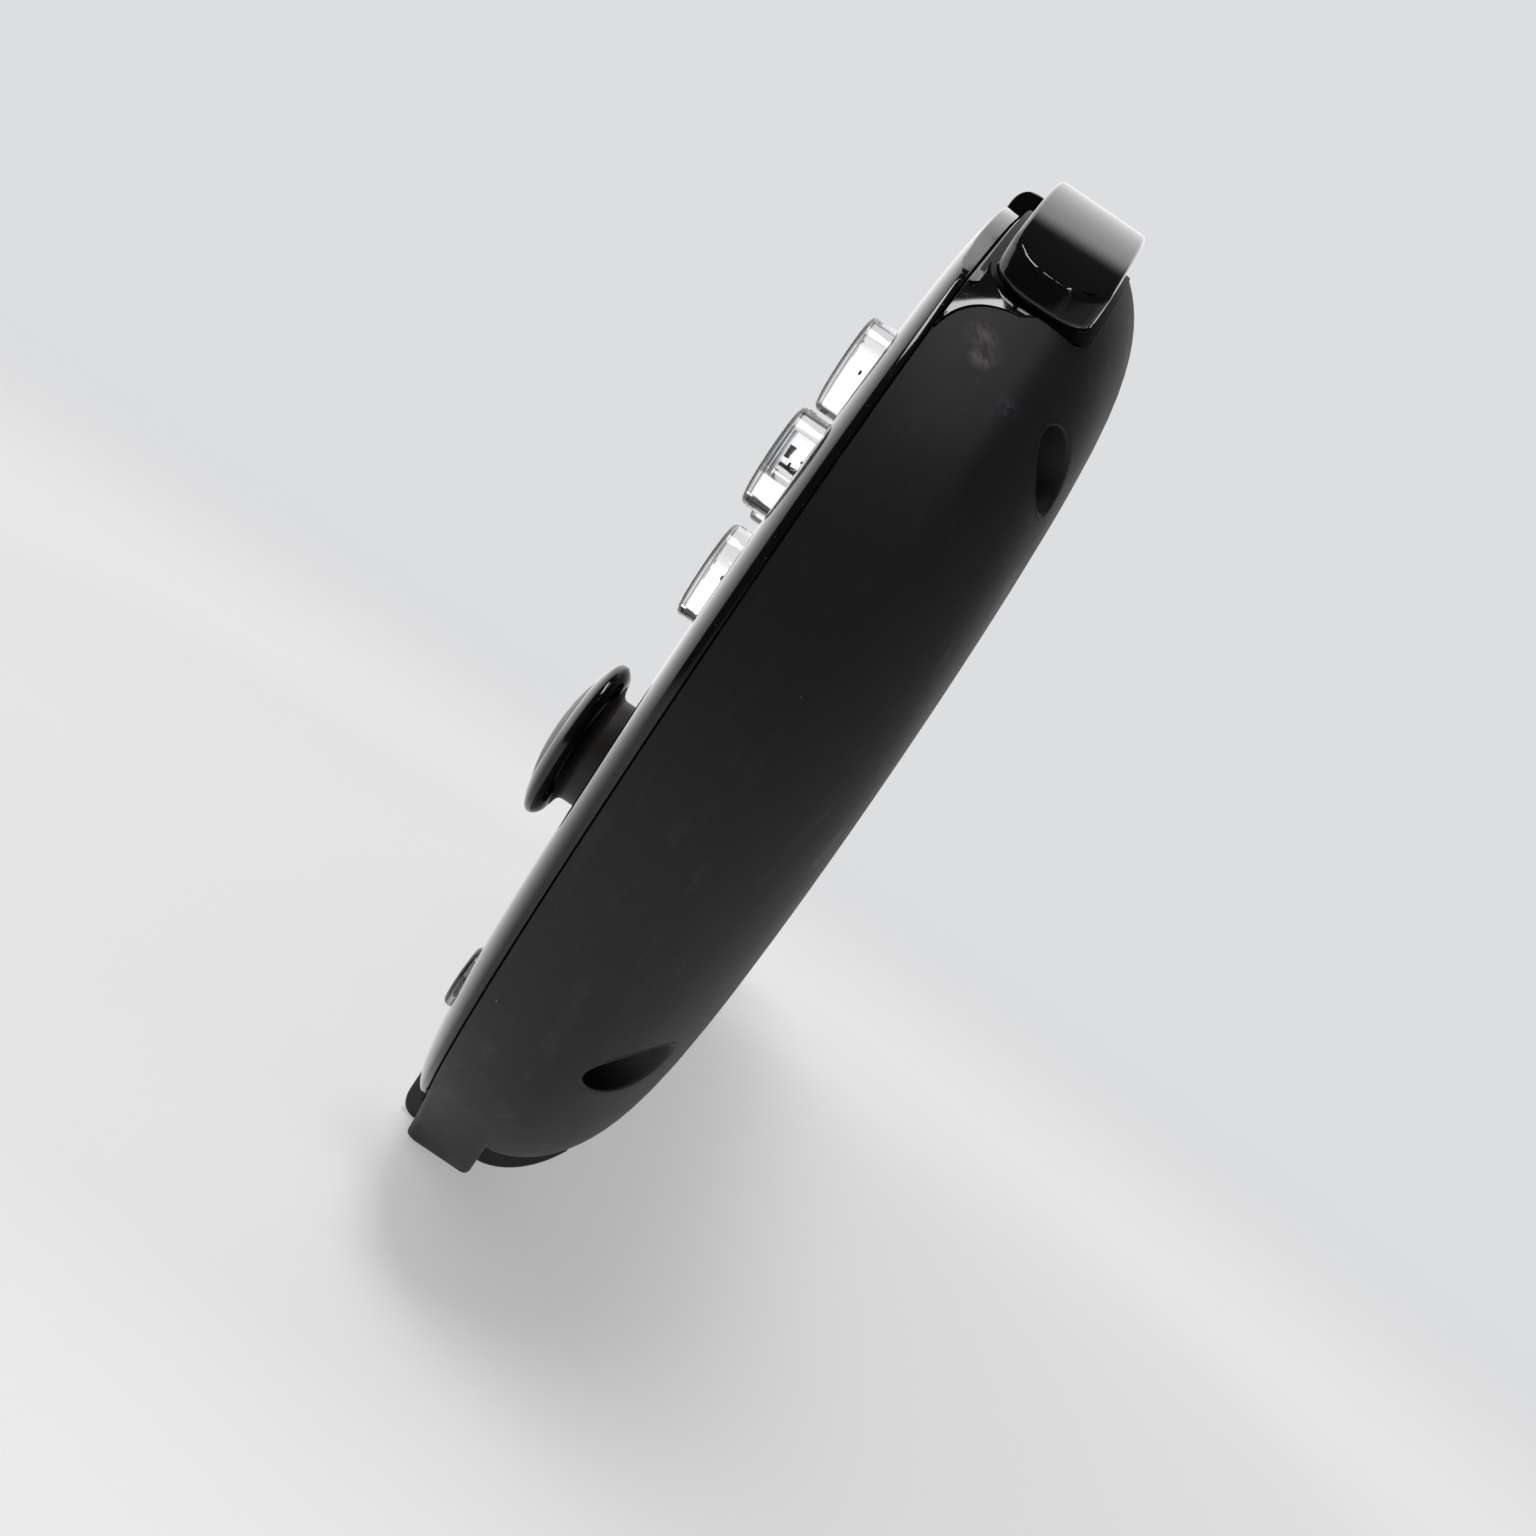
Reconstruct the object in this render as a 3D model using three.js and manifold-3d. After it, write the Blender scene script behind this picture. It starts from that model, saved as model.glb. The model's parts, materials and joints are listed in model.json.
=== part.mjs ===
// Handheld game console, standing on its bottom edge: +Z up, the screen faces -Y, +X is to the right of
// somebody who looks at the screen. Millimetres. Shapes are made with z = 0 at the middle of the body,
// and the last group lifts them so that the console stands on z = 0.
import * as THREE from "three";
import { mergeVertices } from "three/addons/utils/BufferGeometryUtils.js";
import Module from "manifold-3d";

const wasm = await Module();
wasm.setup();

// ---- Driving dimensions -------------------------------------------------------------------------------
const HALF_WIDTH = 91.8; // body, from the middle to either end
const END_RADIUS = 40.4; // rounded ends of the body outline
const SPINE = HALF_WIDTH - END_RADIUS; // the centres of the rounded ends lie at x = +-SPINE
const FOOT_DROP = 42.6; // from the middle of the body down to the surface it stands on
const TOP_RISE = 42.1; // from the middle of the body up to the top of the shoulder buttons
const FACE_DEPTH = 7.15; // front face to the widest plane
const BACK_DEPTH = 8.38; // widest plane to the back
const STICK_RISE = 4.9; // stick caps stand this far out of the front face
const SIDE_POWER = 6.85; // superellipse powers of the pillow-shaped back
const BACK_POWER = 1.72;
const BACK_FLAT = 0.5; // the back is flat inside this share of END_RADIUS
const COVER_DEPTH = 1.75; // front face to the seam between the cover and the shell
const SEAM_INSET = 0.7; // the side bulges: at the seam it is this much inside END_RADIUS
const WALL = 1.6;
const BACK_WALL = 1.8;
const GAP = 0.3; // between neighbouring pieces

const WIDEST_Y = (FACE_DEPTH + STICK_RISE - BACK_DEPTH) / 2;
const FACE_Y = WIDEST_Y - FACE_DEPTH;
const BACK_Y = WIDEST_Y + BACK_DEPTH;
const SEAM_Y = FACE_Y + COVER_DEPTH;
const COVER_DROP = 1.3; // the front cover falls back this far at its rolled edge
const COVER_SIDE_POWER = 11; // superellipse powers of that edge
const COVER_ROLL_POWER = 2;

const TOP_TRIM = { half: 49, radius: 42.0, depth: 8.0 }; // gloss strip between the shoulder buttons
const BOTTOM_TRIM = { half: 53.5, radius: FOOT_DROP, depth: 7.8 };
const TRIM_BACK = WIDEST_Y + 5.4; // rear edge of both strips
const TRIM_FRONT_HEIGHT = 3.9; // how far the strips wrap down over the front face
const TRIM_WALL = 1.7;
const FOOT = { half: 40, front: -4.2, back: 6.0, rise: 3.6 }; // flat foot under the bottom strip

const DISPLAY = { half_x: 55.0, half_z: 31.2 }; // window in the front cover
const STICK = { x: 68.0, z: -10.2, hole: 6.5, rim: 6.15, neck: 4.0, pivot: 4.5 };
const BUTTONS = { x: 71.5, z: 12.55, spread: 8.15, radius: 3.6, rise: 2.4 };
const DPAD = { half: 10.3, arm: 3.5, rise: 1.8, flange: 9.8, pivot: 3.8 };
const SMALL = { radius: 2.3, rise: 0.85, z: -27.7, start_x: 70.0, select_x: 58.5 };
const HOME = { radius: 3.0, rise: 0.7, x: -66.0 };
const CAP_FIT = 0.35; // round every button in its hole

const SHOULDER = { front: WIDEST_Y - 4.5, back: WIDEST_Y + 2.75, bottom: 29.05, thick: 2.4, inner_x: 49.8 };
const BAY = { front: WIDEST_Y - 4.8, back: WIDEST_Y + 3.2, bottom: 28.75 };
const TAIL_INSET = 1.6; // the hinge tail is this much narrower than its button on each side
const SHOULDER_PIN = { x: 53.0, z: 37.6, radius: 0.8 };
const DIP = { radius: 38.5, lip: 36.8, level: 60, start: 40 }; // see cornerDip; level and start in degrees
const LUG = { inner: 54.0, lean: 60, flat: 58.2, front: SEAM_Y, back: WIDEST_Y + 0.1 };

const WELL = { radius: 2.7, boss: 4.0, floor_y: WIDEST_Y - 1.0, top: [80.5, 21.2], bottom: [78.8, -24.7] };
const WELLS = [WELL.top, WELL.bottom];
const SCREW = { head: 2.1, head_long: 1.5, shank: 1.0, shank_long: 4.6, cross: 0.55 };
const TOUCH_PAD = { half_x: 50, half_z: 19, corner: 6, depth: 1.0, thick: 0.7 };
const REAR_CAMERA = { z: 27.5, radius: 2.9 };
const FRONT_CAMERA = { x: 62.5, z: 28.6, radius: 1.6 };

const CARD_DOORS = { // flaps in the top strip; x is the middle of each
  game_card_cover: { x: -20, half: 13 },
  memory_card_cover: { x: 7, half: 8 },
};
const DOOR = { front: -2.7, hinge_y: 1.5, thick: 1.0 };
const TOP_KEYS = { // keys in the top strip
  power_button: { x: -42.0, half: 2.6, depth: 1.2 },
  volume_down: { x: 25.5, half: 3.4, depth: 1.3 },
  volume_up: { x: 35.0, half: 3.4, depth: 1.3 },
};
const KEY_RISE = 0.4;
const KEY_LONG = 3.2;
const KEY_ROUND = 0.9; // corner radius as a share of half its depth
const USB = { x: -10, half_x: 3.6, half_y: 1.2, wall: 0.35, long: 6.0 };
const JACK = { x: -27, hole: 1.85, barrel: 2.9, long: 10.0 };
const PORT_Y = 1.5;

const END_STEPS = 16; // facets round each end of the body
const BACK_STEPS = 6;

// ---- Materials ----------------------------------------------------------------------------------------
const finish = (color, roughness, metalness = 0, extra = {}) =>
  new THREE.MeshStandardMaterial({ color, roughness, metalness, ...extra });
const MATERIALS = {
  matte: finish(0x2a2a2c, 0.62),
  gloss: finish(0x0a0a0c, 0.08),
  satin: finish(0x111113, 0.35),
  clear: finish(0xf2f4f5, 0.04, 0, { transparent: true, opacity: 0.35 }),
  smoke: finish(0x303236, 0.06, 0, { transparent: true, opacity: 0.7 }),
  glass: finish(0x050507, 0.03),
  steel: finish(0x9a9c9f, 0.3, 1),
  alloy: finish(0x85878a, 0.45, 1),
  board: finish(0x123d2a, 0.5),
  battery: finish(0x3b3d42, 0.5),
  rubber: finish(0x6d6f72, 0.8),
};

// ---- Geometry tools -----------------------------------------------------------------------------------
// Turns a closed geometry so that its faces point out, with its shared vertices merged.
function outward(geometry) {
  const bare = geometry.index ? geometry.toNonIndexed() : geometry.clone();
  bare.deleteAttribute("normal");
  bare.deleteAttribute("uv");
  const merged = mergeVertices(bare, 1e-4);
  const position = merged.attributes.position;
  const corner = [new THREE.Vector3(), new THREE.Vector3(), new THREE.Vector3()];
  const kept = [];
  let volume = 0;
  for (let i = 0; i < merged.index.count; i += 3) {
    const [a, b, c] = [0, 1, 2].map((k) => merged.index.getX(i + k));
    if (a === b || b === c || c === a) continue;
    [a, b, c].forEach((v, k) => corner[k].fromBufferAttribute(position, v));
    volume += corner[0].dot(corner[1].clone().cross(corner[2]));
    kept.push([a, b, c]);
  }
  if (volume < 0) kept.forEach((triangle) => triangle.reverse());
  merged.setIndex(kept.flat());
  return merged;
}

function solid(geometry) {
  const closed = outward(geometry);
  return new wasm.Manifold(new wasm.Mesh({
    numProp: 3,
    vertProperties: new Float32Array(closed.attributes.position.array),
    triVerts: new Uint32Array(closed.index.array),
  }));
}

function cut(body, ...tools) {
  return tools.reduce((rest, tool) => rest.subtract(solid(tool)), body);
}

function join(body, ...more) {
  const solids = more.map((piece) => (piece instanceof THREE.BufferGeometry ? solid(piece) : piece));
  return solids.reduce((sum, piece) => sum.add(piece), body);
}

function toGeometry(body) {
  const mesh = body.getMesh();
  const geometry = new THREE.BufferGeometry();
  geometry.setAttribute("position", new THREE.BufferAttribute(Float32Array.from(mesh.vertProperties), 3));
  geometry.setIndex(Array.from(mesh.triVerts));
  return geometry;
}

// A closed skin through rings of points that have the same number of points each.
function loft(rings) {
  const count = rings[0].length;
  const middle = (ring) => ring.reduce((sum, p) => sum.add(p), new THREE.Vector3()).divideScalar(count);
  const points = [...rings.flat(), middle(rings[0]), middle(rings.at(-1))];
  const firstHub = points.length - 2;
  const lastHub = points.length - 1;
  const lastRing = (rings.length - 1) * count;
  const index = [];
  for (let i = 0; i < count; i++) {
    const next = (i + 1) % count;
    for (let r = 0; r < lastRing; r += count) {
      index.push(r + i, r + next, r + count + i, r + next, r + count + next, r + count + i);
    }
    index.push(firstHub, next, i, lastHub, lastRing + i, lastRing + next);
  }
  const geometry = new THREE.BufferGeometry().setFromPoints(points);
  geometry.setIndex(index);
  return geometry;
}

const AXIS_TURNS = {
  x: new THREE.Matrix4().set(0, 0, 1, 0, 1, 0, 0, 0, 0, 1, 0, 0, 0, 0, 0, 1), // shape's x, y -> y, z
  y: new THREE.Matrix4().makeRotationX(Math.PI / 2), // shape's x, y -> x, z
  z: new THREE.Matrix4(),
};

// A flat outline pushed along one axis, from low to high; bevel rounds its long edges.
function prism(axis, shape, low, high, bevel = 0, curveSegments = 2) {
  const geometry = new THREE.ExtrudeGeometry(shape, {
    depth: high - low - 2 * bevel,
    bevelEnabled: bevel > 0,
    bevelThickness: bevel,
    bevelSize: bevel,
    bevelOffset: -bevel,
    bevelSegments: 1,
    curveSegments,
  });
  geometry.translate(0, 0, bevel + (axis === "y" ? -high : low));
  return geometry.applyMatrix4(AXIS_TURNS[axis]);
}

function rod(axis, radius, low, high, a = 0, b = 0, sides = 16) {
  const circle = new THREE.Shape();
  circle.absarc(a, b, radius, 0, Math.PI * 2);
  return prism(axis, circle, low, high, 0, sides / 2);
}

function block(x0, x1, y0, y1, z0, z1) {
  return new THREE.BoxGeometry(x1 - x0, y1 - y0, z1 - z0)
    .translate((x0 + x1) / 2, (y0 + y1) / 2, (z0 + z1) / 2);
}

// Revolved about the Y axis; the profile is [radius, y] pairs that start and end on the axis.
function turned(profile, sides = 20) {
  return new THREE.LatheGeometry(profile.map(([r, y]) => new THREE.Vector2(r, y)), sides);
}

function roundedShape(halfX, halfY, corner, x = 0, y = 0) {
  const shape = new THREE.Shape();
  const quarter = Math.PI / 2;
  shape.absarc(x + halfX - corner, y + halfY - corner, corner, 0, quarter);
  shape.absarc(x - halfX + corner, y + halfY - corner, corner, quarter, 2 * quarter);
  shape.absarc(x - halfX + corner, y - halfY + corner, corner, 2 * quarter, 3 * quarter);
  shape.absarc(x + halfX - corner, y - halfY + corner, corner, 3 * quarter, 4 * quarter);
  return shape;
}

function outline(points) {
  return new THREE.Shape(points.map(([x, y]) => new THREE.Vector2(x, y)));
}

function mirrored(geometry) {
  return outward(geometry.clone().scale(-1, 1, 1));
}

// ---- Body outline -------------------------------------------------------------------------------------
// The stadium outline of the body at depth y, with rounded ends of the given radius.
function bodyRing(radius, y) {
  const ring = [];
  for (const side of [1, -1]) {
    for (let i = 0; i <= END_STEPS; i++) {
      const turn = Math.PI * (i / END_STEPS - 0.5);
      const x = side * (SPINE + radius * Math.cos(turn));
      ring.push(new THREE.Vector3(x, y, side * radius * Math.sin(turn)));
    }
  }
  return ring;
}

// Radius and depth behind the widest plane, going round from the side to the back.
function backProfile(radius, depth) {
  const profile = [];
  for (let i = 0; i < BACK_STEPS; i++) {
    const turn = (Math.PI / 2) * (1 - i / BACK_STEPS);
    profile.push([
      radius * Math.sin(turn) ** (2 / SIDE_POWER),
      WIDEST_Y + depth * Math.cos(turn) ** (2 / BACK_POWER),
    ]);
  }
  return profile;
}

function pillow(radius, depth, frontY) {
  const rings = backProfile(radius, depth).map(([r, y]) => bodyRing(r, y));
  const side = [1, 0.7, 0.4].map((share) => WIDEST_Y + share * (frontY - WIDEST_Y));
  return loft([
    ...side.map((y) => bodyRing(radius - sideInset(y), y)),
    ...rings,
    bodyRing(radius * BACK_FLAT, WIDEST_Y + depth),
  ]);
}

// How far the side of the body lies inside its widest outline at depth y.
function sideInset(y) {
  return SEAM_INSET * (Math.max(WIDEST_Y - y, 0) / (WIDEST_Y - SEAM_Y)) ** 2;
}

const bodyHollow = () => pillow(END_RADIUS - WALL, BACK_DEPTH - BACK_WALL, SEAM_Y - 5);

// ---- Shell and covers ---------------------------------------------------------------------------------
function bayShape() {
  const shape = new THREE.Shape();
  shape.moveTo(BAY.front, TOP_RISE + 3);
  shape.lineTo(BAY.front, BAY.bottom + 2.4);
  shape.quadraticCurveTo(BAY.front + 0.5, BAY.bottom, BAY.front + 3.6, BAY.bottom);
  shape.lineTo(BAY.back - 1.1, BAY.bottom);
  shape.quadraticCurveTo(BAY.back, BAY.bottom, BAY.back, BAY.bottom + 1.4);
  shape.lineTo(BAY.back, TOP_RISE + 3);
  return shape;
}

// Side view of the gloss corner trim: a narrow band in front of the bay that widens under it.
function cornerTrimShape(grow) {
  const shape = new THREE.Shape();
  shape.moveTo(SEAM_Y - 1, 24.4 - grow);
  shape.lineTo(SEAM_Y + grow, 24.4 - grow);
  shape.quadraticCurveTo(SEAM_Y + 0.5 + grow, 27.5 - grow, WIDEST_Y - 0.9 + grow, 28.1 - grow);
  shape.lineTo(WIDEST_Y - 0.9 + grow, TOP_RISE + 3);
  shape.lineTo(SEAM_Y - 1, TOP_RISE + 3);
  return shape;
}

function wellTools(side) {
  return WELLS.flatMap(([x, z]) => [
    rod("y", WELL.radius, WELL.floor_y, BACK_Y + 1, side * x, z),
    rod("y", SCREW.shank + GAP, WELL.floor_y - 3, WELL.floor_y + 1, side * x, z, 16),
  ]);
}

// The lug leaves the rounded end along its tangent and comes down to the level of the foot.
function lugRing(y) {
  const lean = THREE.MathUtils.degToRad(LUG.lean);
  const radius = END_RADIUS - sideInset(y) - 0.01;
  const start = [SPINE + radius * Math.cos(lean), -radius * Math.sin(lean)];
  const down = (x) => start[1] - (start[0] - x) / Math.tan(lean);
  const toe = new THREE.QuadraticBezierCurve(
    new THREE.Vector2(61.5, down(61.5)),
    new THREE.Vector2(60.2, down(60.2)),
    new THREE.Vector2(LUG.flat, -FOOT_DROP),
  );
  const line = [new THREE.Vector2(...start), ...toe.getPoints(6), new THREE.Vector2(LUG.inner, -FOOT_DROP),
    new THREE.Vector2(LUG.inner, -38.8), new THREE.Vector2(start[0] - 2.5, start[1] + 0.6)];
  return line.map(({ x, y: z }) => new THREE.Vector3(x, y, z));
}

// Rib behind the back wall that holds the pin of the right shoulder button on both sides of its tail.
function hingeRib() {
  const { x, z, radius } = SHOULDER_PIN;
  const rib = solid(block(x - 2.1, x + 2.1, BAY.front + GAP, BACK_Y, z - 4.2, z + 1.6))
    .intersect(solid(pillow(END_RADIUS - 0.5, BACK_DEPTH - 0.5, SEAM_Y)));
  const front = SHOULDER.front + TAIL_INSET - GAP;
  const back = SHOULDER.back - TAIL_INSET + GAP;
  const slot = block(x - 3, x + 3, front, back, z - 2.8, z + 3);
  return cut(rib, slot, rod("y", radius + GAP, BAY.front - 1, BAY.back, x, z, 12));
}

function rearShell() {
  const outer = solid(pillow(END_RADIUS, BACK_DEPTH, SEAM_Y));
  let shell = outer.subtract(solid(bodyHollow()));
  const bay = prism("x", bayShape(), TOP_TRIM.half + GAP, HALF_WIDTH + 1, 0, 5);
  const trim = prism("x", cornerTrimShape(GAP), TOP_TRIM.half + GAP, HALF_WIDTH + 1, 0, 5);
  for (const side of [1, -1]) {
    for (const [x, z] of WELLS) {
      const boss = solid(rod("y", WELL.boss, WELL.floor_y - 1.4, BACK_Y + 1, side * x, z));
      shell = shell.add(boss.intersect(outer));
    }
    const lug = loft([0, 0.3, 0.6, 1].map((share) => lugRing(LUG.front + share * (LUG.back - LUG.front))));
    shell = join(shell, side > 0 ? lug : mirrored(lug));
    shell = cut(shell, ...wellTools(side), ...[bay, trim].map((tool) => (side > 0 ? tool : mirrored(tool))));
    shell = shell.add(side > 0 ? hingeRib() : solid(mirrored(toGeometry(hingeRib()))));
  }
  const trimBack = TRIM_BACK + GAP;
  return cut(
    shell,
    block(-TOP_TRIM.half - GAP, TOP_TRIM.half + GAP, SEAM_Y - 1, trimBack, 34, 44),
    block(-BOTTOM_TRIM.half - GAP, BOTTOM_TRIM.half + GAP, SEAM_Y - 1, trimBack, -44, -34),
    prism("y", roundedShape(TOUCH_PAD.half_x + GAP, TOUCH_PAD.half_z + GAP, TOUCH_PAD.corner + GAP),
      BACK_Y - TOUCH_PAD.depth, BACK_Y + 1),
    rod("y", REAR_CAMERA.radius + GAP, WIDEST_Y + 3, BACK_Y + 1, 0, REAR_CAMERA.z),
  );
}

// The part of the shell's wall that the corner trim stands for, on the right.
function cornerTrim() {
  const body = solid(pillow(END_RADIUS, BACK_DEPTH, SEAM_Y));
  const shape = solid(prism("x", cornerTrimShape(0), TOP_TRIM.half + GAP, HALF_WIDTH + 1, 0, 5));
  const reach = block(TOP_TRIM.half + GAP, HALF_WIDTH, SEAM_Y - 1, BAY.front, BAY.bottom + 1, TOP_RISE);
  const lip = cut(body, pillow(DIP.lip, BACK_DEPTH, SEAM_Y - 1)).intersect(solid(reach));
  const wall = cut(body, bodyHollow()).intersect(shape);
  const bay = prism("x", bayShape(), SPINE - 3, HALF_WIDTH + 2, 0, 5);
  return cut(wall, bay).add(lip).subtract(solid(cornerDip()));
}

// Beside the shoulder button the front plate and the corner trim are lower than the rounded end.
function cornerDip() {
  const shape = new THREE.Shape();
  const point = (radius, degrees) => {
    const turn = THREE.MathUtils.degToRad(degrees);
    return [SPINE + radius * Math.cos(turn), radius * Math.sin(turn)];
  };
  shape.moveTo(TOP_TRIM.half + GAP, DIP.radius);
  shape.lineTo(SPINE, DIP.radius);
  for (let degrees = 84; degrees >= DIP.level; degrees -= 6) shape.lineTo(...point(DIP.radius, degrees));
  shape.bezierCurveTo(...point(DIP.radius + 0.05, DIP.level - 6), ...point(END_RADIUS - 0.4, DIP.start + 6),
    ...point(END_RADIUS + 0.1, DIP.start));
  shape.lineTo(HALF_WIDTH + 5, 24);
  shape.lineTo(HALF_WIDTH + 5, TOP_RISE + 5);
  shape.lineTo(TOP_TRIM.half + GAP, TOP_RISE + 5);
  return prism("y", shape, FACE_Y - 1, BAY.front, 0, 8);
}

function buttonCentres() {
  const { x, z, spread } = BUTTONS;
  return { north: [x, z + spread], east: [x + spread, z], south: [x, z - spread], west: [x - spread, z] };
}

function crossShape(half, arm) {
  return outline([[half, arm], [arm, arm], [arm, half], [-arm, half], [-arm, arm], [-half, arm],
    [-half, -arm], [-arm, -arm], [-arm, -half], [arm, -half], [arm, -arm], [half, -arm]]);
}

function frontCover() {
  const fall = (share) => COVER_DROP * (1 - (1 - share ** COVER_SIDE_POWER) ** (1 / COVER_ROLL_POWER));
  const edge = END_RADIUS - SEAM_INSET;
  const rings = [1, 0.99, 0.975, 0.95, 0.9].map((share) => bodyRing(edge * share, FACE_Y + fall(share)));
  let cover = solid(loft([bodyRing(edge, SEAM_Y - 0.02), ...rings, bodyRing(edge * 0.8, FACE_Y)]));
  const hole = (radius, x, z) => rod("y", radius, FACE_Y - 1, SEAM_Y + 1, x, z);
  cover = cut(
    cover,
    prism("y", roundedShape(DISPLAY.half_x, DISPLAY.half_z, 1.5), FACE_Y - 1, SEAM_Y + 1),
    ...Object.values(buttonCentres()).map(([x, z]) => hole(BUTTONS.radius + CAP_FIT, x, z)),
    hole(STICK.hole, STICK.x, STICK.z),
    hole(STICK.hole, -STICK.x, STICK.z),
    hole(SMALL.radius + CAP_FIT, SMALL.start_x, SMALL.z),
    hole(SMALL.radius + CAP_FIT, SMALL.select_x, SMALL.z),
    hole(HOME.radius + CAP_FIT, HOME.x, SMALL.z),
    hole(FRONT_CAMERA.radius + GAP, FRONT_CAMERA.x, FRONT_CAMERA.z),
    prism("y", crossShape(DPAD.half + 0.5, DPAD.arm + 0.5), FACE_Y - 1, SEAM_Y + 1)
      .translate(-BUTTONS.x, 0, BUTTONS.z),
    ...[1, -1].flatMap((side) => [-19.2, -20.9, -22.6].map((z) =>
      prism("y", roundedShape(3.2, 0.35, 0.34, side * 80, z + 6), FACE_Y - 1, SEAM_Y + 1, 0, 3))),
    block(-TOP_TRIM.half - GAP, TOP_TRIM.half + GAP, FACE_Y - 1, SEAM_Y + 1,
      TOP_TRIM.radius - TRIM_FRONT_HEIGHT - GAP, 44),
    block(-BOTTOM_TRIM.half - GAP, BOTTOM_TRIM.half + GAP, FACE_Y - 1, SEAM_Y + 1,
      -44, -BOTTOM_TRIM.radius + TRIM_FRONT_HEIGHT + GAP),
  );
  const dip = cornerDip();
  cover = cut(cover, dip, mirrored(dip));
  const inside = solid(pillow(END_RADIUS - WALL - GAP, BACK_DEPTH, SEAM_Y - 1));
  for (const side of [1, -1]) {
    for (const [x, z] of WELLS) {
      const post = solid(rod("y", 2.6, SEAM_Y - 0.5, WELL.floor_y - 1.4 - GAP, side * x, z, 20));
      cover = cover.add(post.intersect(inside));
      cover = cut(cover, rod("y", SCREW.shank + GAP, SEAM_Y - 0.3, WIDEST_Y, side * x, z, 16));
    }
  }
  return cover;
}

// Section of a gloss edge strip: down over the front face, along the edge and round to the back.
function trimShape({ radius, depth }) {
  const low = radius - TRIM_FRONT_HEIGHT;
  const rounded = (y) => radius * (1 - ((y - WIDEST_Y) / depth) ** BACK_POWER) ** (1 / SIDE_POWER);
  const depths = [0, 0.3, 0.55, 0.75, 0.9, 1].map((share) => WIDEST_Y + share * (TRIM_BACK - WIDEST_Y));
  return outline([
    [FACE_Y, low], [FACE_Y, radius - 1.1], [FACE_Y + 0.3, radius - 0.35], [FACE_Y + 1.1, radius],
    ...depths.map((y) => [y, rounded(y)]),
    ...depths.reverse().map((y) => [y, rounded(y) - TRIM_WALL]),
    [FACE_Y + TRIM_WALL, radius - TRIM_WALL], [FACE_Y + TRIM_WALL, low],
  ]);
}

function topTrim() {
  const strip = solid(prism("x", trimShape(TOP_TRIM), -TOP_TRIM.half, TOP_TRIM.half));
  const doors = Object.values(CARD_DOORS).map(({ x, half }) => block(x - half - GAP, x + half + GAP,
    DOOR.front - GAP, DOOR.hinge_y + DOOR.thick / 2 + GAP, TOP_TRIM.radius - 4, TOP_TRIM.radius + 2));
  const keys = Object.values(TOP_KEYS).map(({ x, half, depth }) => {
    const opening = roundedShape(half + GAP, depth + GAP, (depth + GAP) * KEY_ROUND, x, 0);
    return prism("z", opening, TOP_TRIM.radius - 4, TOP_TRIM.radius + 2);
  });
  return cut(strip, ...doors, ...keys);
}

function bottomTrim() {
  const strip = solid(prism("x", trimShape(BOTTOM_TRIM), -BOTTOM_TRIM.half, BOTTOM_TRIM.half));
  const foot = block(-FOOT.half, FOOT.half, FOOT.front, FOOT.back, BOTTOM_TRIM.radius - FOOT.rise,
    BOTTOM_TRIM.radius);
  const upright = cut(
    join(strip, foot),
    prism("z", roundedShape(USB.half_x + GAP, USB.half_y + GAP, 0.6, USB.x, PORT_Y), 30, 50),
    rod("z", JACK.barrel + GAP, 30, 50, JACK.x, PORT_Y),
  );
  return solid(toGeometry(upright).scale(1, 1, -1));
}

// ---- Buttons and sticks -------------------------------------------------------------------------------
// A domed round cap with a flange that holds it behind the cover; y = 0 is the front face.
function capProfile(radius, rise, flange) {
  const back = COVER_DEPTH + GAP;
  return [[0, -rise], [radius * 0.55, -rise + 0.08], [radius * 0.85, -rise + 0.3], [radius, -rise + 0.75],
    [radius, back], [flange, back], [flange, back + 0.6], [0, back + 0.6]];
}

function stickCap() {
  const { rim, neck, pivot } = STICK;
  return turned([[0, -STICK_RISE], [2.6, -STICK_RISE + 0.25], [4.5, -STICK_RISE + 0.85],
    [5.6, -STICK_RISE + 1.2], [rim, -3.2], [rim - 0.15, -2.7], [rim - 0.9, -2.35], [neck + 0.4, -2.5],
    [neck, -2.0], [neck, 1.4], [1.5, pivot - 2.6], [1.5, pivot - 1.7], [2.2, pivot - 0.5],
    [1.6, pivot + 1.7], [0, pivot + 2.2]], 24);
}

// The ring that carries the stick's ball; y = 0 is the pivot.
function stickGimbal() {
  return cut(solid(turned([[0, -1], [4.6, -1], [4.6, 1], [0, 1]])), rod("y", 2.75, -2, 2, 0, 0));
}

function stickBase() {
  const body = solid(block(-6.5, 6.5, -1.2, 4.4, -6.5, 6.5));
  return cut(body, rod("y", 5.1, -2, 2.9));
}

function dpad() {
  const cross = solid(prism("y", crossShape(DPAD.half, DPAD.arm), -DPAD.rise, DPAD.pivot - 1.1, 0.4));
  const flange = rod("y", DPAD.flange, DPAD.pivot - 1.2, DPAD.pivot - 0.5, 0, 0, 28);
  const dish = new THREE.SphereGeometry(9, 16, 12).translate(0, -DPAD.rise - 8.4, 0);
  return cut(join(cross, flange), dish, rod("y", 1.6, 1.2, 5, 0, 0, 16));
}

function dpadPivot() {
  return solid(turned([[0, 1.6], [1.2, 1.7], [1.2, DPAD.pivot - 0.6], [2.0, DPAD.pivot - 0.1], [2.0, 4.6],
    [0, 4.6]], 16));
}

// ---- Shoulder buttons, on the right ------------------------------------------------------------------
function sectorShape(inner, outer, from, to) {
  const shape = new THREE.Shape();
  shape.absarc(SPINE, 0, outer, from, to, false);
  shape.absarc(SPINE, 0, inner, to, from, true);
  return shape;
}

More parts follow.
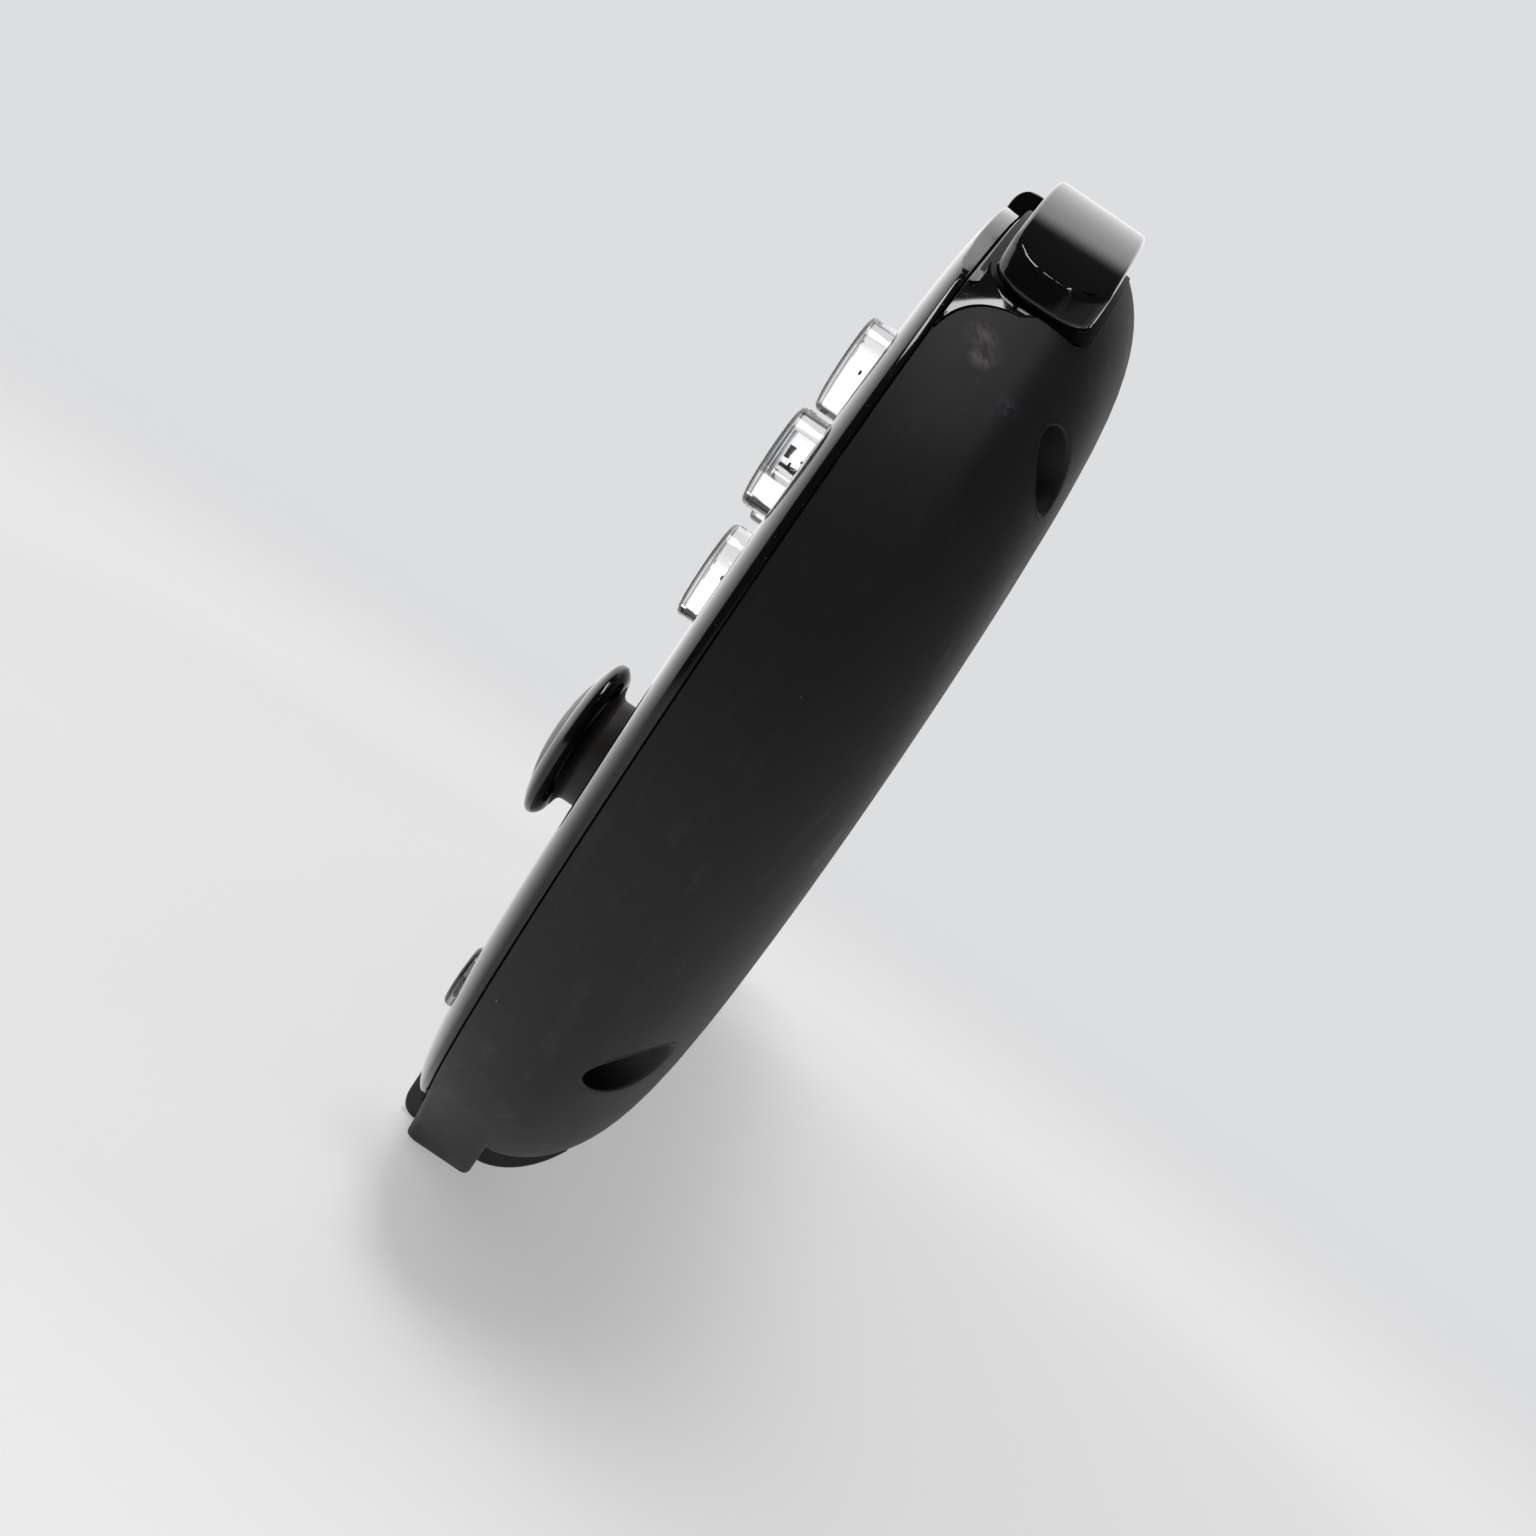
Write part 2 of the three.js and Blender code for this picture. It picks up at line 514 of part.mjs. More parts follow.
function shoulderShape() {
  const { front, back, bottom } = SHOULDER;
  const shape = new THREE.Shape();
  shape.moveTo(front, TOP_RISE + 2);
  shape.lineTo(front, bottom + 3.4);
  shape.bezierCurveTo(front + 0.3, bottom + 1.2, front + 1.6, bottom, (front + back) / 2, bottom);
  shape.bezierCurveTo(back - 1.6, bottom, back - 0.3, bottom + 1.2, back, bottom + 3.4);
  shape.lineTo(back, TOP_RISE + 2);
  return shape;
}

function shoulderButton() {
  const { front, back, thick, inner_x } = SHOULDER;
  const start = Math.asin((SHOULDER.bottom - 3) / TOP_RISE);
  const sector = sectorShape(TOP_RISE - thick, TOP_RISE, start, Math.PI / 2 + 0.1);
  const strip = solid(prism("y", sector, front, back, 0.7, 7));
  const limits = solid(prism("x", shoulderShape(), inner_x, HALF_WIDTH + 1, 0, 4));
  const tail = block(SHOULDER_PIN.x - 2, SHOULDER_PIN.x + 2, front + TAIL_INSET, back - TAIL_INSET,
    SHOULDER_PIN.z - 1.9, TOP_RISE - thick + 0.4);
  return cut(join(strip.intersect(limits), tail),
    rod("y", SHOULDER_PIN.radius + GAP, front - 1, back + 1, SHOULDER_PIN.x, SHOULDER_PIN.z, 12));
}

function shoulderPin() {
  const { x, z, radius } = SHOULDER_PIN;
  return rod("y", radius, BAY.front + GAP, BAY.back - 0.8, x, z, 12);
}

// A small press switch under the button; it lies square to the corner.
function shoulderSwitch() {
  const body = solid(block(-2.6, 2.6, -1.6, 1.6, -1.6, 0.9));
  return join(body, rod("z", 0.9, 0.5, 1.5, 0, 0, 16));
}

// ---- Top strip: card doors and keys -------------------------------------------------------------------
// Its hinge edge is a half round about the hinge axis, at y = 0, z = 0.
function cardDoor({ half }) {
  const reach = DOOR.front - DOOR.hinge_y;
  const plate = block(-half, half, reach, 0, -DOOR.thick / 2, DOOR.thick / 2);
  return join(solid(plate), rod("x", DOOR.thick / 2, -half, half, 0, 0, 16));
}

function topKey({ half, depth }) {
  return prism("z", roundedShape(half, depth, depth * KEY_ROUND), -KEY_LONG, KEY_RISE, 0.2);
}

// ---- Inside and small parts ---------------------------------------------------------------------------
function screw() {
  const head = turned([[0, 0], [SCREW.head, 0], [SCREW.head, SCREW.head_long - 0.3],
    [SCREW.head - 0.4, SCREW.head_long], [0, SCREW.head_long]], 12);
  const shank = rod("y", SCREW.shank, -SCREW.shank_long + SCREW.head_long, 0.2, 0, 0, 10);
  const slot = (x, z) => block(-x, x, SCREW.head_long - 0.8, SCREW.head_long + 1, -z, z);
  const long = SCREW.cross * 2.4;
  const wide = SCREW.cross / 2;
  return cut(join(solid(head), shank), slot(long, wide), slot(wide, long));
}

function usbPort() {
  const { half_x, half_y, wall, long } = USB;
  const can = solid(block(-half_x, half_x, -half_y, half_y, 0, long));
  const tongue = block(-half_x + 1.2, half_x - 1.2, -0.25, 0.25, 0.8, long - 0.5);
  const room = block(-half_x + wall, half_x - wall, -half_y + wall, half_y - wall, -1, long - 1);
  return join(cut(can, room), tongue);
}

function headphoneJack() {
  return cut(solid(rod("z", JACK.barrel, 0, JACK.long)), rod("z", JACK.hole, -1, JACK.long - 1.5, 0, 0, 20));
}

function midFrame() {
  const plate = solid(prism("y", roundedShape(55.5, 31, 2), 0, 0.8));
  return cut(plate, ...[-30, 0, 30].map((x) => prism("y", roundedShape(11, 9, 2, x, 18), -1, 2)));
}

function mainBoard() {
  const board = solid(block(-56, 56, 0, 1, 6, 33));
  const chips = [[-30, 16, 7], [-8, 22, 5], [12, 15, 6], [34, 24, 4]].map(([x, z, half]) =>
    block(x - half, x + half, 0.9, 2.3, z - half, z + half));
  return join(board, ...chips);
}

// Cuts a piece on the right to the room inside the shell, clear of the screw bosses.
function fitInside(body) {
  const room = solid(pillow(END_RADIUS - WALL - GAP, BACK_DEPTH, SEAM_Y));
  return cut(body.intersect(room), ...WELLS.map(([x, z]) => rod("y", WELL.boss + GAP, SEAM_Y, BACK_Y, x, z)));
}

// Rubber sheet with a dome behind each contact of the cluster at the right.
function membrane(spots, dome) {
  const { x, z } = BUTTONS;
  const front = SEAM_Y + 2.9;
  const sheet = solid(prism("y", roundedShape(12.5, 12.5, 4, x, z), front, front + 0.5));
  const domes = spots.map(([dx, dz]) => rod("y", dome, front - 0.6, front + 0.2, x + dx, z + dz, 14));
  return join(fitInside(sheet), ...domes);
}

function controlBoard() {
  const { x, z } = BUTTONS;
  return fitInside(solid(block(x - 13, x + 13, SEAM_Y + 3.7, SEAM_Y + 4.5, z - 12, z + 13)));
}

// ---- Assembly -----------------------------------------------------------------------------------------
const consoleBody = new THREE.Group();
consoleBody.position.z = FOOT_DROP;

function place(name, shape, material, x = 0, y = 0, z = 0, parent = consoleBody) {
  const geometry = shape instanceof THREE.BufferGeometry ? outward(shape) : toGeometry(shape);
  geometry.computeVertexNormals();
  const mesh = new THREE.Mesh(geometry, MATERIALS[material]);
  mesh.name = name;
  mesh.position.set(x, y, z);
  parent.add(mesh);
  return mesh;
}

function addHousing() {
  place("rear_shell", rearShell(), "matte");
  place("front_cover", frontCover(), "gloss");
  place("top_trim", topTrim(), "gloss");
  place("bottom_trim", bottomTrim(), "gloss");
  const trim = toGeometry(cornerTrim());
  place("right_corner_trim", trim, "gloss");
  place("left_corner_trim", mirrored(trim), "gloss");
  for (const row of ["top", "bottom"]) {
    const [x, z] = WELL[row];
    for (const [end, side] of [["left", -1], ["right", 1]]) {
      place(`screw_${row}_${end}`, screw(), "steel", side * x, WELL.floor_y + GAP, z);
    }
  }
}

function addDisplay() {
  const { half_x, half_z } = DISPLAY;
  place("display_glass", prism("y", roundedShape(half_x - GAP, half_z - GAP, 1.2), 0, 0.9), "glass",
    0, FACE_Y + 0.15);
  const panel = block(-half_x - GAP, half_x + GAP, 0, 1.5, -half_z - 1, half_z + 1);
  place("display_panel", panel, "satin", 0, SEAM_Y + GAP);
  place("front_camera", turned([[0, 0.5], [1.0, 0.2], [FRONT_CAMERA.radius, 0], [FRONT_CAMERA.radius, 3.6],
    [0, 3.6]], 20), "glass", FRONT_CAMERA.x, FACE_Y + 0.1, FRONT_CAMERA.z);
}

function addBack() {
  place("rear_touch_pad", prism("y", roundedShape(TOUCH_PAD.half_x, TOUCH_PAD.half_z, TOUCH_PAD.corner),
    0, TOUCH_PAD.thick), "gloss", 0, BACK_Y - TOUCH_PAD.thick);
  const lens = turned([[0, 0], [REAR_CAMERA.radius, 0], [REAR_CAMERA.radius, 4.2], [2.1, 4.2], [1.7, 3.9],
    [0, 3.6]], 24);
  place("rear_camera", lens, "glass", 0, BACK_Y - 4.3, REAR_CAMERA.z);
}

function addInside() {
  place("mid_frame", midFrame(), "alloy", 0, SEAM_Y + 2.1);
  place("main_board", mainBoard(), "board", 0, SEAM_Y + 3.3);
  place("battery", prism("y", roundedShape(46, 17, 2), 0, 4.2, 0.5), "battery", 0, SEAM_Y + 3.4, -13.5);
  place("wireless_module", block(-4, 4, 0, 1.6, -9, 9), "alloy", 51.5, SEAM_Y + 3.4, -16);
  const readers = { game_card_reader: ["game_card_cover", 12], memory_card_reader: ["memory_card_cover", 7] };
  for (const [name, [door, half]] of Object.entries(readers)) {
    place(name, block(-half, half, 0, 3.2, 0, 3.2), "steel", CARD_DOORS[door].x, SEAM_Y + 2, 35.4);
  }
  const bottom = -BOTTOM_TRIM.radius + 0.4;
  place("usb_port", usbPort(), "steel", USB.x, PORT_Y, bottom);
  place("headphone_jack", headphoneJack(), "satin", JACK.x, PORT_Y, bottom);
  for (const [end, side] of [["left", -1], ["right", 1]]) {
    const board = toGeometry(controlBoard());
    place(`${end}_control_board`, side > 0 ? board : mirrored(board), "board");
    const speaker = prism("y", roundedShape(3.9, 3.6, 1), 0, 2.6);
    place(`${end}_speaker`, speaker, "satin", side * 80, SEAM_Y + GAP, -14.6);
  }
}

function addFaceButtons() {
  const cluster = new THREE.Group();
  cluster.position.set(BUTTONS.x, FACE_Y, BUTTONS.z);
  consoleBody.add(cluster);
  const cap = turned(capProfile(BUTTONS.radius, BUTTONS.rise, 4.2), 24);
  const spots = { north: [0, 1], east: [1, 0], south: [0, -1], west: [-1, 0] };
  const offsets = Object.values(spots).map((spot) => spot.map((share) => share * BUTTONS.spread));
  Object.keys(spots).forEach((name, i) => {
    place(`button_${name}`, cap, "clear", offsets[i][0], 0, offsets[i][1], cluster);
  });
  place("button_membrane", membrane(offsets, 2.0), "rubber");

  const small = turned(capProfile(SMALL.radius, SMALL.rise, 2.9), 16);
  place("start_button", small, "smoke", SMALL.start_x, FACE_Y, SMALL.z);
  place("select_button", small, "smoke", SMALL.select_x, FACE_Y, SMALL.z);
  place("home_button", turned(capProfile(HOME.radius, HOME.rise, 3.6), 20), "smoke", HOME.x, FACE_Y, SMALL.z);
}

function addDpad() {
  const group = new THREE.Group();
  group.position.set(-BUTTONS.x, FACE_Y, BUTTONS.z);
  consoleBody.add(group);
  place("dpad", dpad(), "gloss", 0, 0, 0, group);
  place("dpad_pivot", dpadPivot(), "satin", 0, 0, 0, group);
  const spots = [[0, 6], [6, 0], [0, -6], [-6, 0]];
  const sheet = cut(membrane(spots, 1.8), rod("y", 2.3, SEAM_Y, WIDEST_Y, BUTTONS.x, BUTTONS.z));
  place("dpad_membrane", mirrored(toGeometry(sheet)), "rubber");
}

function addSticks() {
  for (const [end, side] of [["left", -1], ["right", 1]]) {
    const group = new THREE.Group();
    group.position.set(side * STICK.x, FACE_Y, STICK.z);
    consoleBody.add(group);
    place(`${end}_stick_cap`, stickCap(), "satin", 0, 0, 0, group);
    place(`${end}_stick_gimbal`, stickGimbal(), "satin", 0, STICK.pivot, 0, group);
    place(`${end}_stick_base`, stickBase(), "steel", 0, STICK.pivot, 0, group);
  }
}

function addShoulders() {
  const angle = 0.92; // from the X axis to the switch, seen from the end's centre
  const reach = TOP_RISE - SHOULDER.thick - 2.1;
  for (const [end, side] of [["left", -1], ["right", 1]]) {
    const sided = (shape) => (side > 0 ? shape : mirrored(shape));
    place(`${end}_shoulder_button`, sided(toGeometry(shoulderButton())), "gloss");
    place(`${end}_shoulder_pin`, sided(shoulderPin()), "steel");
    const press = place(`${end}_shoulder_switch`, shoulderSwitch(), "steel",
      side * (SPINE + reach * Math.cos(angle)), WIDEST_Y - 0.9, reach * Math.sin(angle));
    press.rotation.y = side * (Math.PI / 2 - angle);
  }
}

function addTopRow() {
  for (const [name, door] of Object.entries(CARD_DOORS)) {
    place(name, cardDoor(door), "gloss", door.x, DOOR.hinge_y, TOP_TRIM.radius - DOOR.thick / 2);
  }
  for (const [name, key] of Object.entries(TOP_KEYS)) {
    place(name, topKey(key), "satin", key.x, 0, TOP_TRIM.radius);
  }
}

addHousing();
addDisplay();
addBack();
addInside();
addFaceButtons();
addDpad();
addSticks();
addShoulders();
addTopRow();

const handheld = new THREE.Group();
handheld.add(consoleBody);
export default handheld;
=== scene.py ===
import json
import math

import bmesh
import bpy
import numpy as np
from mathutils import Matrix, Vector


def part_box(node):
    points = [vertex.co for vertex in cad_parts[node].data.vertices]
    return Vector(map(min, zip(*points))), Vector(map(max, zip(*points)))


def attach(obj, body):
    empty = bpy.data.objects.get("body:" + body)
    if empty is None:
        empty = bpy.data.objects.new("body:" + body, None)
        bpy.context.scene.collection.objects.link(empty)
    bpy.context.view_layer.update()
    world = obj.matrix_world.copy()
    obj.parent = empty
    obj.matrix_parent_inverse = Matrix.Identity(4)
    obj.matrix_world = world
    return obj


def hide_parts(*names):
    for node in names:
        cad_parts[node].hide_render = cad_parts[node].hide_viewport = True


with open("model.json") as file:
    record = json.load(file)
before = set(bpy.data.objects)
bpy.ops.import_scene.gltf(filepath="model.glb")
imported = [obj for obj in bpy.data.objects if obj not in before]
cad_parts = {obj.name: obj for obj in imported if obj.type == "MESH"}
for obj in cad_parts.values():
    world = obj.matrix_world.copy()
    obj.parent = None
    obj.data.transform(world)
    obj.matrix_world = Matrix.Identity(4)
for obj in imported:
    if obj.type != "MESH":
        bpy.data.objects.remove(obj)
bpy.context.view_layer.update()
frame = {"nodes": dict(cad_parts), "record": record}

# A handheld game console that stands on its bottom edge. Sizes are in millimetres and are turned into
# metres when a mesh is made. +X is the player's right, the screen faces -Y and +Z is up.
MM = 0.001


def span(node):
    """Lowest and highest corner of a CAD node, in millimetres."""
    low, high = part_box(node)
    return np.array(low) / MM, np.array(high) / MM


def middle(node):
    low, high = span(node)
    return (low + high) / 2


# ---- Sizes from the frame -----------------------------------------------------------------------------
SHELL_LOW, SHELL_HIGH = span("rear_shell")
COVER_LOW = span("front_cover")[0]
CENTRE_Z = middle("rear_touch_pad")[2]
END_RADIUS = 40.4
SPINE = SHELL_HIGH[0] - END_RADIUS
FACE_Y = COVER_LOW[1]
SEAM_Y = SHELL_LOW[1]
BACK_Y = SHELL_HIGH[1]
FACE_DEPTH = 7.15
WIDEST_Y = FACE_Y + FACE_DEPTH
BACK_DEPTH = BACK_Y - WIDEST_Y
SIDE_POWER = 6.85
BACK_POWER = 1.72
BACK_FLAT = 0.5
WALL = 1.6
BACK_WALL = 1.8
SEAM_INSET = 0.7  # the side bulges: at the seam it is this much inside END_RADIUS
HAIRLINE = 0.09  # gap that shows between pieces which the CAD keeps 0.3 apart
PLATE_Y = FACE_Y - 0.3  # the front plate is slightly crowned
COVER_DROP = 1.55  # how far its rolled edge falls back
COVER_CURVE = (14.0, 1.5)

END_STEPS = 90
STRAIGHT_STEPS = 20
BACK_STEPS = 22

scene = bpy.context.scene


# ---- Mesh tools ---------------------------------------------------------------------------------------
def make(name, points, faces):
    mesh = bpy.data.meshes.new(name)
    mesh.from_pydata((np.asarray(points, dtype=float) * MM).tolist(), [], faces)
    obj = bpy.data.objects.new(name, mesh)
    scene.collection.objects.link(obj)
    tidy(obj, 0)
    return obj


def tidy(obj, weld):
    """Turns the faces outward and joins points that are closer than weld millimetres."""
    bm = bmesh.new()
    bm.from_mesh(obj.data)
    if weld:
        bmesh.ops.remove_doubles(bm, verts=bm.verts, dist=weld * MM)
        bmesh.ops.dissolve_degenerate(bm, edges=bm.edges, dist=weld * MM / 2)
    bmesh.ops.recalc_face_normals(bm, faces=bm.faces)
    bm.to_mesh(obj.data)
    bm.free()


def loft(name, rings):
    count = len(rings[0])
    points = np.concatenate(rings)
    faces = []
    for r in range(len(rings) - 1):
        a, b = r * count, (r + 1) * count
        faces += [(a + i, a + (i + 1) % count, b + (i + 1) % count, b + i) for i in range(count)]
    faces.append(list(range(count - 1, -1, -1)))
    faces.append(list(range((len(rings) - 1) * count, len(rings) * count)))
    return make(name, points, faces)


def revolve(name, profile, centre=(0, 0, 0), steps=72):
    """Turned about Y; the profile is (radius, y) pairs that start and end on the axis."""
    turn = np.linspace(0, 2 * math.pi, steps, endpoint=False)
    rings = [np.column_stack([r * np.cos(turn), np.full(steps, y), r * np.sin(turn)])
             for r, y in profile[1:-1]]
    points = np.concatenate(rings + [[(0, profile[0][1], 0)], [(0, profile[-1][1], 0)]]) + np.asarray(centre)
    first, last = len(points) - 2, len(points) - 1
    end = (len(rings) - 1) * steps
    faces = []
    for i in range(steps):
        j = (i + 1) % steps
        faces.append((first, j, i))
        faces.append((last, end + i, end + j))
        faces += [(r + i, r + j, r + steps + j, r + steps + i) for r in range(0, end, steps)]
    return make(name, points, faces)


AXIS_ORDER = {"x": (2, 0, 1), "y": (0, 2, 1), "z": (0, 1, 2)}  # where u, v and depth come from


def prism(name, axis, outline, low, high, slices=1):
    """A flat outline of (u, v) pairs pushed along an axis: u, v are y, z or x, z or x, y."""
    outline = np.asarray(outline, dtype=float)
    rings = []
    for depth in np.linspace(low, high, slices + 1):
        flat = np.column_stack([outline, np.full(len(outline), depth)])
        rings.append(flat[:, AXIS_ORDER[axis]])
    return loft(name, rings)


def rod(name, axis, radius, low, high, centre=(0, 0), steps=64):
    return prism(name, axis, arc(*centre, radius, 0, 360, steps)[:-1], low, high)


def block(name, low, high):
    (x0, y0, z0), (x1, y1, z1) = low, high
    return prism(name, "z", [(x0, y0), (x1, y0), (x1, y1), (x0, y1)], z0, z1)


def apply_modifiers(obj):
    graph = bpy.context.evaluated_depsgraph_get()
    mesh = bpy.data.meshes.new_from_object(obj.evaluated_get(graph))
    obj.modifiers.clear()
    old, obj.data = obj.data, mesh
    bpy.data.meshes.remove(old)
    return obj


def boolean(kind, body, *tools):
    for tool in tools:
        modifier = body.modifiers.new("boolean", "BOOLEAN")
        modifier.operation = kind
        modifier.solver = "MANIFOLD"
        modifier.object = tool
        apply_modifiers(body)
        bpy.data.objects.remove(tool)
    return body


def cut(body, *tools):
    return boolean("DIFFERENCE", body, *tools)


def join(body, *tools):
    return boolean("UNION", body, *tools)


def common(body, *tools):
    return boolean("INTERSECT", body, *tools)


def soften(obj, width, segments=3, angle=32, weld=0.03):
    """Rounds the sharp edges of a piece."""
    tidy(obj, weld)
    modifier = obj.modifiers.new("soften", "BEVEL")
    modifier.width = width * MM
    modifier.segments = segments
    modifier.limit_method = "ANGLE"
    modifier.angle_limit = math.radians(angle)
    modifier.harden_normals = False
    modifier.use_clamp_overlap = False
    modifier.miter_outer = "MITER_ARC"
    return apply_modifiers(obj)


def smooth(obj, angle=38):
    mesh = obj.data
    mesh.polygons.foreach_set("use_smooth", [True] * len(mesh.polygons))
    mesh.set_sharp_from_angle(angle=math.radians(angle))
    return obj


def flip(obj):
    """Turns a piece or a tool over to the other side of the console."""
    obj.data.transform(Matrix.Scale(-1, 4, (1, 0, 0)))
    obj.data.flip_normals()
    return obj


def sided(obj, side):
    """What was made for the right side, on the side that is asked for: 1 is right, -1 is left."""
    return obj if side > 0 else flip(obj)


def mirrored(obj, name):
    """A copy on the other side of the console."""
    twin = bpy.data.objects.new(name, obj.data.copy())
    scene.collection.objects.link(twin)
    return flip(twin)


def moved(obj, x, y, z):
    obj.data.transform(Matrix.Translation((x * MM, y * MM, z * MM)))
    return obj


# ---- Outlines -----------------------------------------------------------------------------------------
def arc(x, y, radius, start, stop, steps):
    turn = np.radians(np.linspace(start, stop, steps + 1))
    return [(x + radius * math.cos(t), y + radius * math.sin(t)) for t in turn]


def bezier(p0, p1, p2, p3, steps=12):
    p0, p1, p2, p3 = (np.array(p, dtype=float) for p in (p0, p1, p2, p3))
    return [tuple(p0 * (1 - t) ** 3 + 3 * p1 * t * (1 - t) ** 2 + 3 * p2 * t * t * (1 - t) + p3 * t ** 3)
            for t in np.linspace(0, 1, steps + 1)]


def bend(p0, p1, p2, steps=12):
    p0, p1, p2 = (np.array(p, dtype=float) for p in (p0, p1, p2))
    return [tuple(p0 * (1 - t) ** 2 + 2 * p1 * t * (1 - t) + p2 * t * t)
            for t in np.linspace(0, 1, steps + 1)]


def rounded(half_u, half_v, corner, u=0.0, v=0.0, steps=10):
    points = []
    for k, (su, sv) in enumerate([(1, 1), (-1, 1), (-1, -1), (1, -1)]):
        centre = (u + su * (half_u - corner), v + sv * (half_v - corner))
        points += arc(*centre, corner, 90 * k, 90 * k + 90, steps)
    return points


def node_outline(node, axis, grow, corner):
    """A rounded rectangle round a CAD node, seen along an axis."""
    low, high = span(node)
    u, v = {"x": (1, 2), "y": (0, 2), "z": (0, 1)}[axis]
    half_u, half_v = (high[u] - low[u]) / 2 + grow, (high[v] - low[v]) / 2 + grow
    return rounded(half_u, half_v, min(corner, half_u * 0.98, half_v * 0.98), (high[u] + low[u]) / 2,
                   (high[v] + low[v]) / 2)


# ---- Body outline -------------------------------------------------------------------------------------
def body_ring(radius, y):
    turn = np.linspace(-math.pi / 2, math.pi / 2, END_STEPS + 1)
    along = np.linspace(SPINE, -SPINE, STRAIGHT_STEPS + 1)[1:-1]
    x = np.concatenate([SPINE + radius * np.cos(turn), along, -SPINE - radius * np.cos(turn), -along])
    z = np.concatenate([radius * np.sin(turn), np.full(len(along), radius), -radius * np.sin(turn),
                        np.full(len(along), -radius)])
    return np.column_stack([x, np.full(len(x), y), z + CENTRE_Z])


def back_radius(radius, depth, y):
    return radius * (1 - ((y - WIDEST_Y) / depth) ** BACK_POWER) ** (1 / SIDE_POWER)


def side_inset(y):
    """How far the side of the body lies inside its widest outline at depth y."""
    return SEAM_INSET * (max(WIDEST_Y - y, 0) / (WIDEST_Y - SEAM_Y)) ** 2


def pillow(name, radius, depth, front_y):
    rings = [body_ring(radius - side_inset(y), y) for y in np.linspace(front_y, WIDEST_Y, 9)[:-1]]
    for i in range(BACK_STEPS):
        turn = math.pi / 2 * (1 - i / BACK_STEPS)
        share = math.sin(turn) ** (2 / SIDE_POWER)
        if share > BACK_FLAT + 0.04:
            rings.append(body_ring(radius * share, WIDEST_Y + depth * math.cos(turn) ** (2 / BACK_POWER)))
    rings.append(body_ring(radius * BACK_FLAT, WIDEST_Y + depth))
    return loft(name, rings)


COVER_EDGE = END_RADIUS - SEAM_INSET


def cover_y(radius):
    """Front surface of the cover at a distance from the spine."""
    side, roll = COVER_CURVE
    fall = 1 - max(0.0, 1 - (radius / COVER_EDGE) ** side) ** (1 / roll)
    return PLATE_Y + COVER_DROP * fall


def up(z):
    """Height above the floor of a height above the middle of the body."""
    return z + CENTRE_Z


# ---- Shading that follows the true curved skins -------------------------------------------------------
def from_spine(points):
    """Distance from the spine and the direction away from it, for points in millimetres."""
    across = np.sign(points[:, 0]) * np.maximum(np.abs(points[:, 0]) - SPINE, 0)
    rise = points[:, 2] - CENTRE_Z
    distance = np.maximum(np.hypot(across, rise), 1e-6)
    return distance, across / distance, rise / distance


def body_skin(radius, depth):
    """Outer skin of the housing: how far points are from it, and its normals there."""
    def skin(points):
        distance, dx, dz = from_spine(points)
        back = np.maximum(points[:, 1] - WIDEST_Y, 0) / depth
        front = np.maximum(WIDEST_Y - points[:, 1], 0) / (WIDEST_Y - SEAM_Y)
        side = distance / (radius - SEAM_INSET * front ** 2)
        value = side ** SIDE_POWER + back ** BACK_POWER - 1
        out = SIDE_POWER * side ** (SIDE_POWER - 1) / radius
        rear = BACK_POWER * back ** (BACK_POWER - 1) / depth
        ease = np.clip(back / 0.25, 0, 1)
        rear *= ease ** 2 * (3 - 2 * ease)
        rear -= out * 2 * SEAM_INSET * front / (WIDEST_Y - SEAM_Y)
        slope = np.maximum(np.hypot(out, rear), 1e-9)
        return np.abs(value) / slope, np.column_stack([dx * out, rear, dz * out]) / slope[:, None]
    return skin


def cover_skin(points):
    side_power, roll = COVER_CURVE
    distance, dx, dz = from_spine(points)
    side = np.minimum(distance / COVER_EDGE, 0.99999)
    left = 1 - side ** side_power
    height = PLATE_Y + COVER_DROP * (1 - left ** (1 / roll))
    out = COVER_DROP / roll * left ** (1 / roll - 1) * side_power * side ** (side_power - 1) / COVER_EDGE
    slope = np.hypot(out, 1)
    normal = np.column_stack([dx * out, np.full(len(out), -1.0), dz * out]) / slope[:, None]
    return np.abs(points[:, 1] - height) / slope, normal


def shade(obj, *skins, angle=38, reach=0.035, like=0.93):
    """Smooth shading. On a skin the normals are the skin's own, so that the facets don't show."""
    smooth(obj, angle)
    mesh = obj.data
    points = np.empty(len(mesh.vertices) * 3)
    mesh.vertices.foreach_get("co", points)
    points = points.reshape(-1, 3) / MM
    corner = np.empty(len(mesh.loops), dtype=int)
    mesh.loops.foreach_get("vertex_index", corner)
    normals = np.array([n.vector for n in mesh.corner_normals])
    faces = np.empty(len(mesh.polygons) * 3)
    mesh.polygons.foreach_get("normal", faces)
    sizes = np.empty(len(mesh.polygons), dtype=int)
    mesh.polygons.foreach_get("loop_total", sizes)
    faces = np.repeat(faces.reshape(-1, 3), sizes, axis=0)
    for skin in skins:
        away, direction = skin(points)
        on_skin = away[corner] < reach
        along = (faces * direction[corner]).sum(axis=1) > like
        normals[on_skin & along] = direction[corner][on_skin & along]
    if skins:
        mesh.normals_split_custom_set(normals.tolist())
    return obj


# ---- Sizes of the pieces ------------------------------------------------------------------------------
TOP_RADIUS = span("top_trim")[1][2] - CENTRE_Z
TOP_HALF = span("top_trim")[1][0]
BOTTOM_RADIUS = CENTRE_Z - span("bottom_trim")[0][2]
BOTTOM_HALF = span("bottom_trim")[1][0]
TRIM_BACK = span("top_trim")[1][1]
TRIM_DROP = 3.9
TRIM_WALL = 1.7
FOOT_HALF = 40.0
EDGE_GAP = 0.12  # round the doors and keys in the top strip

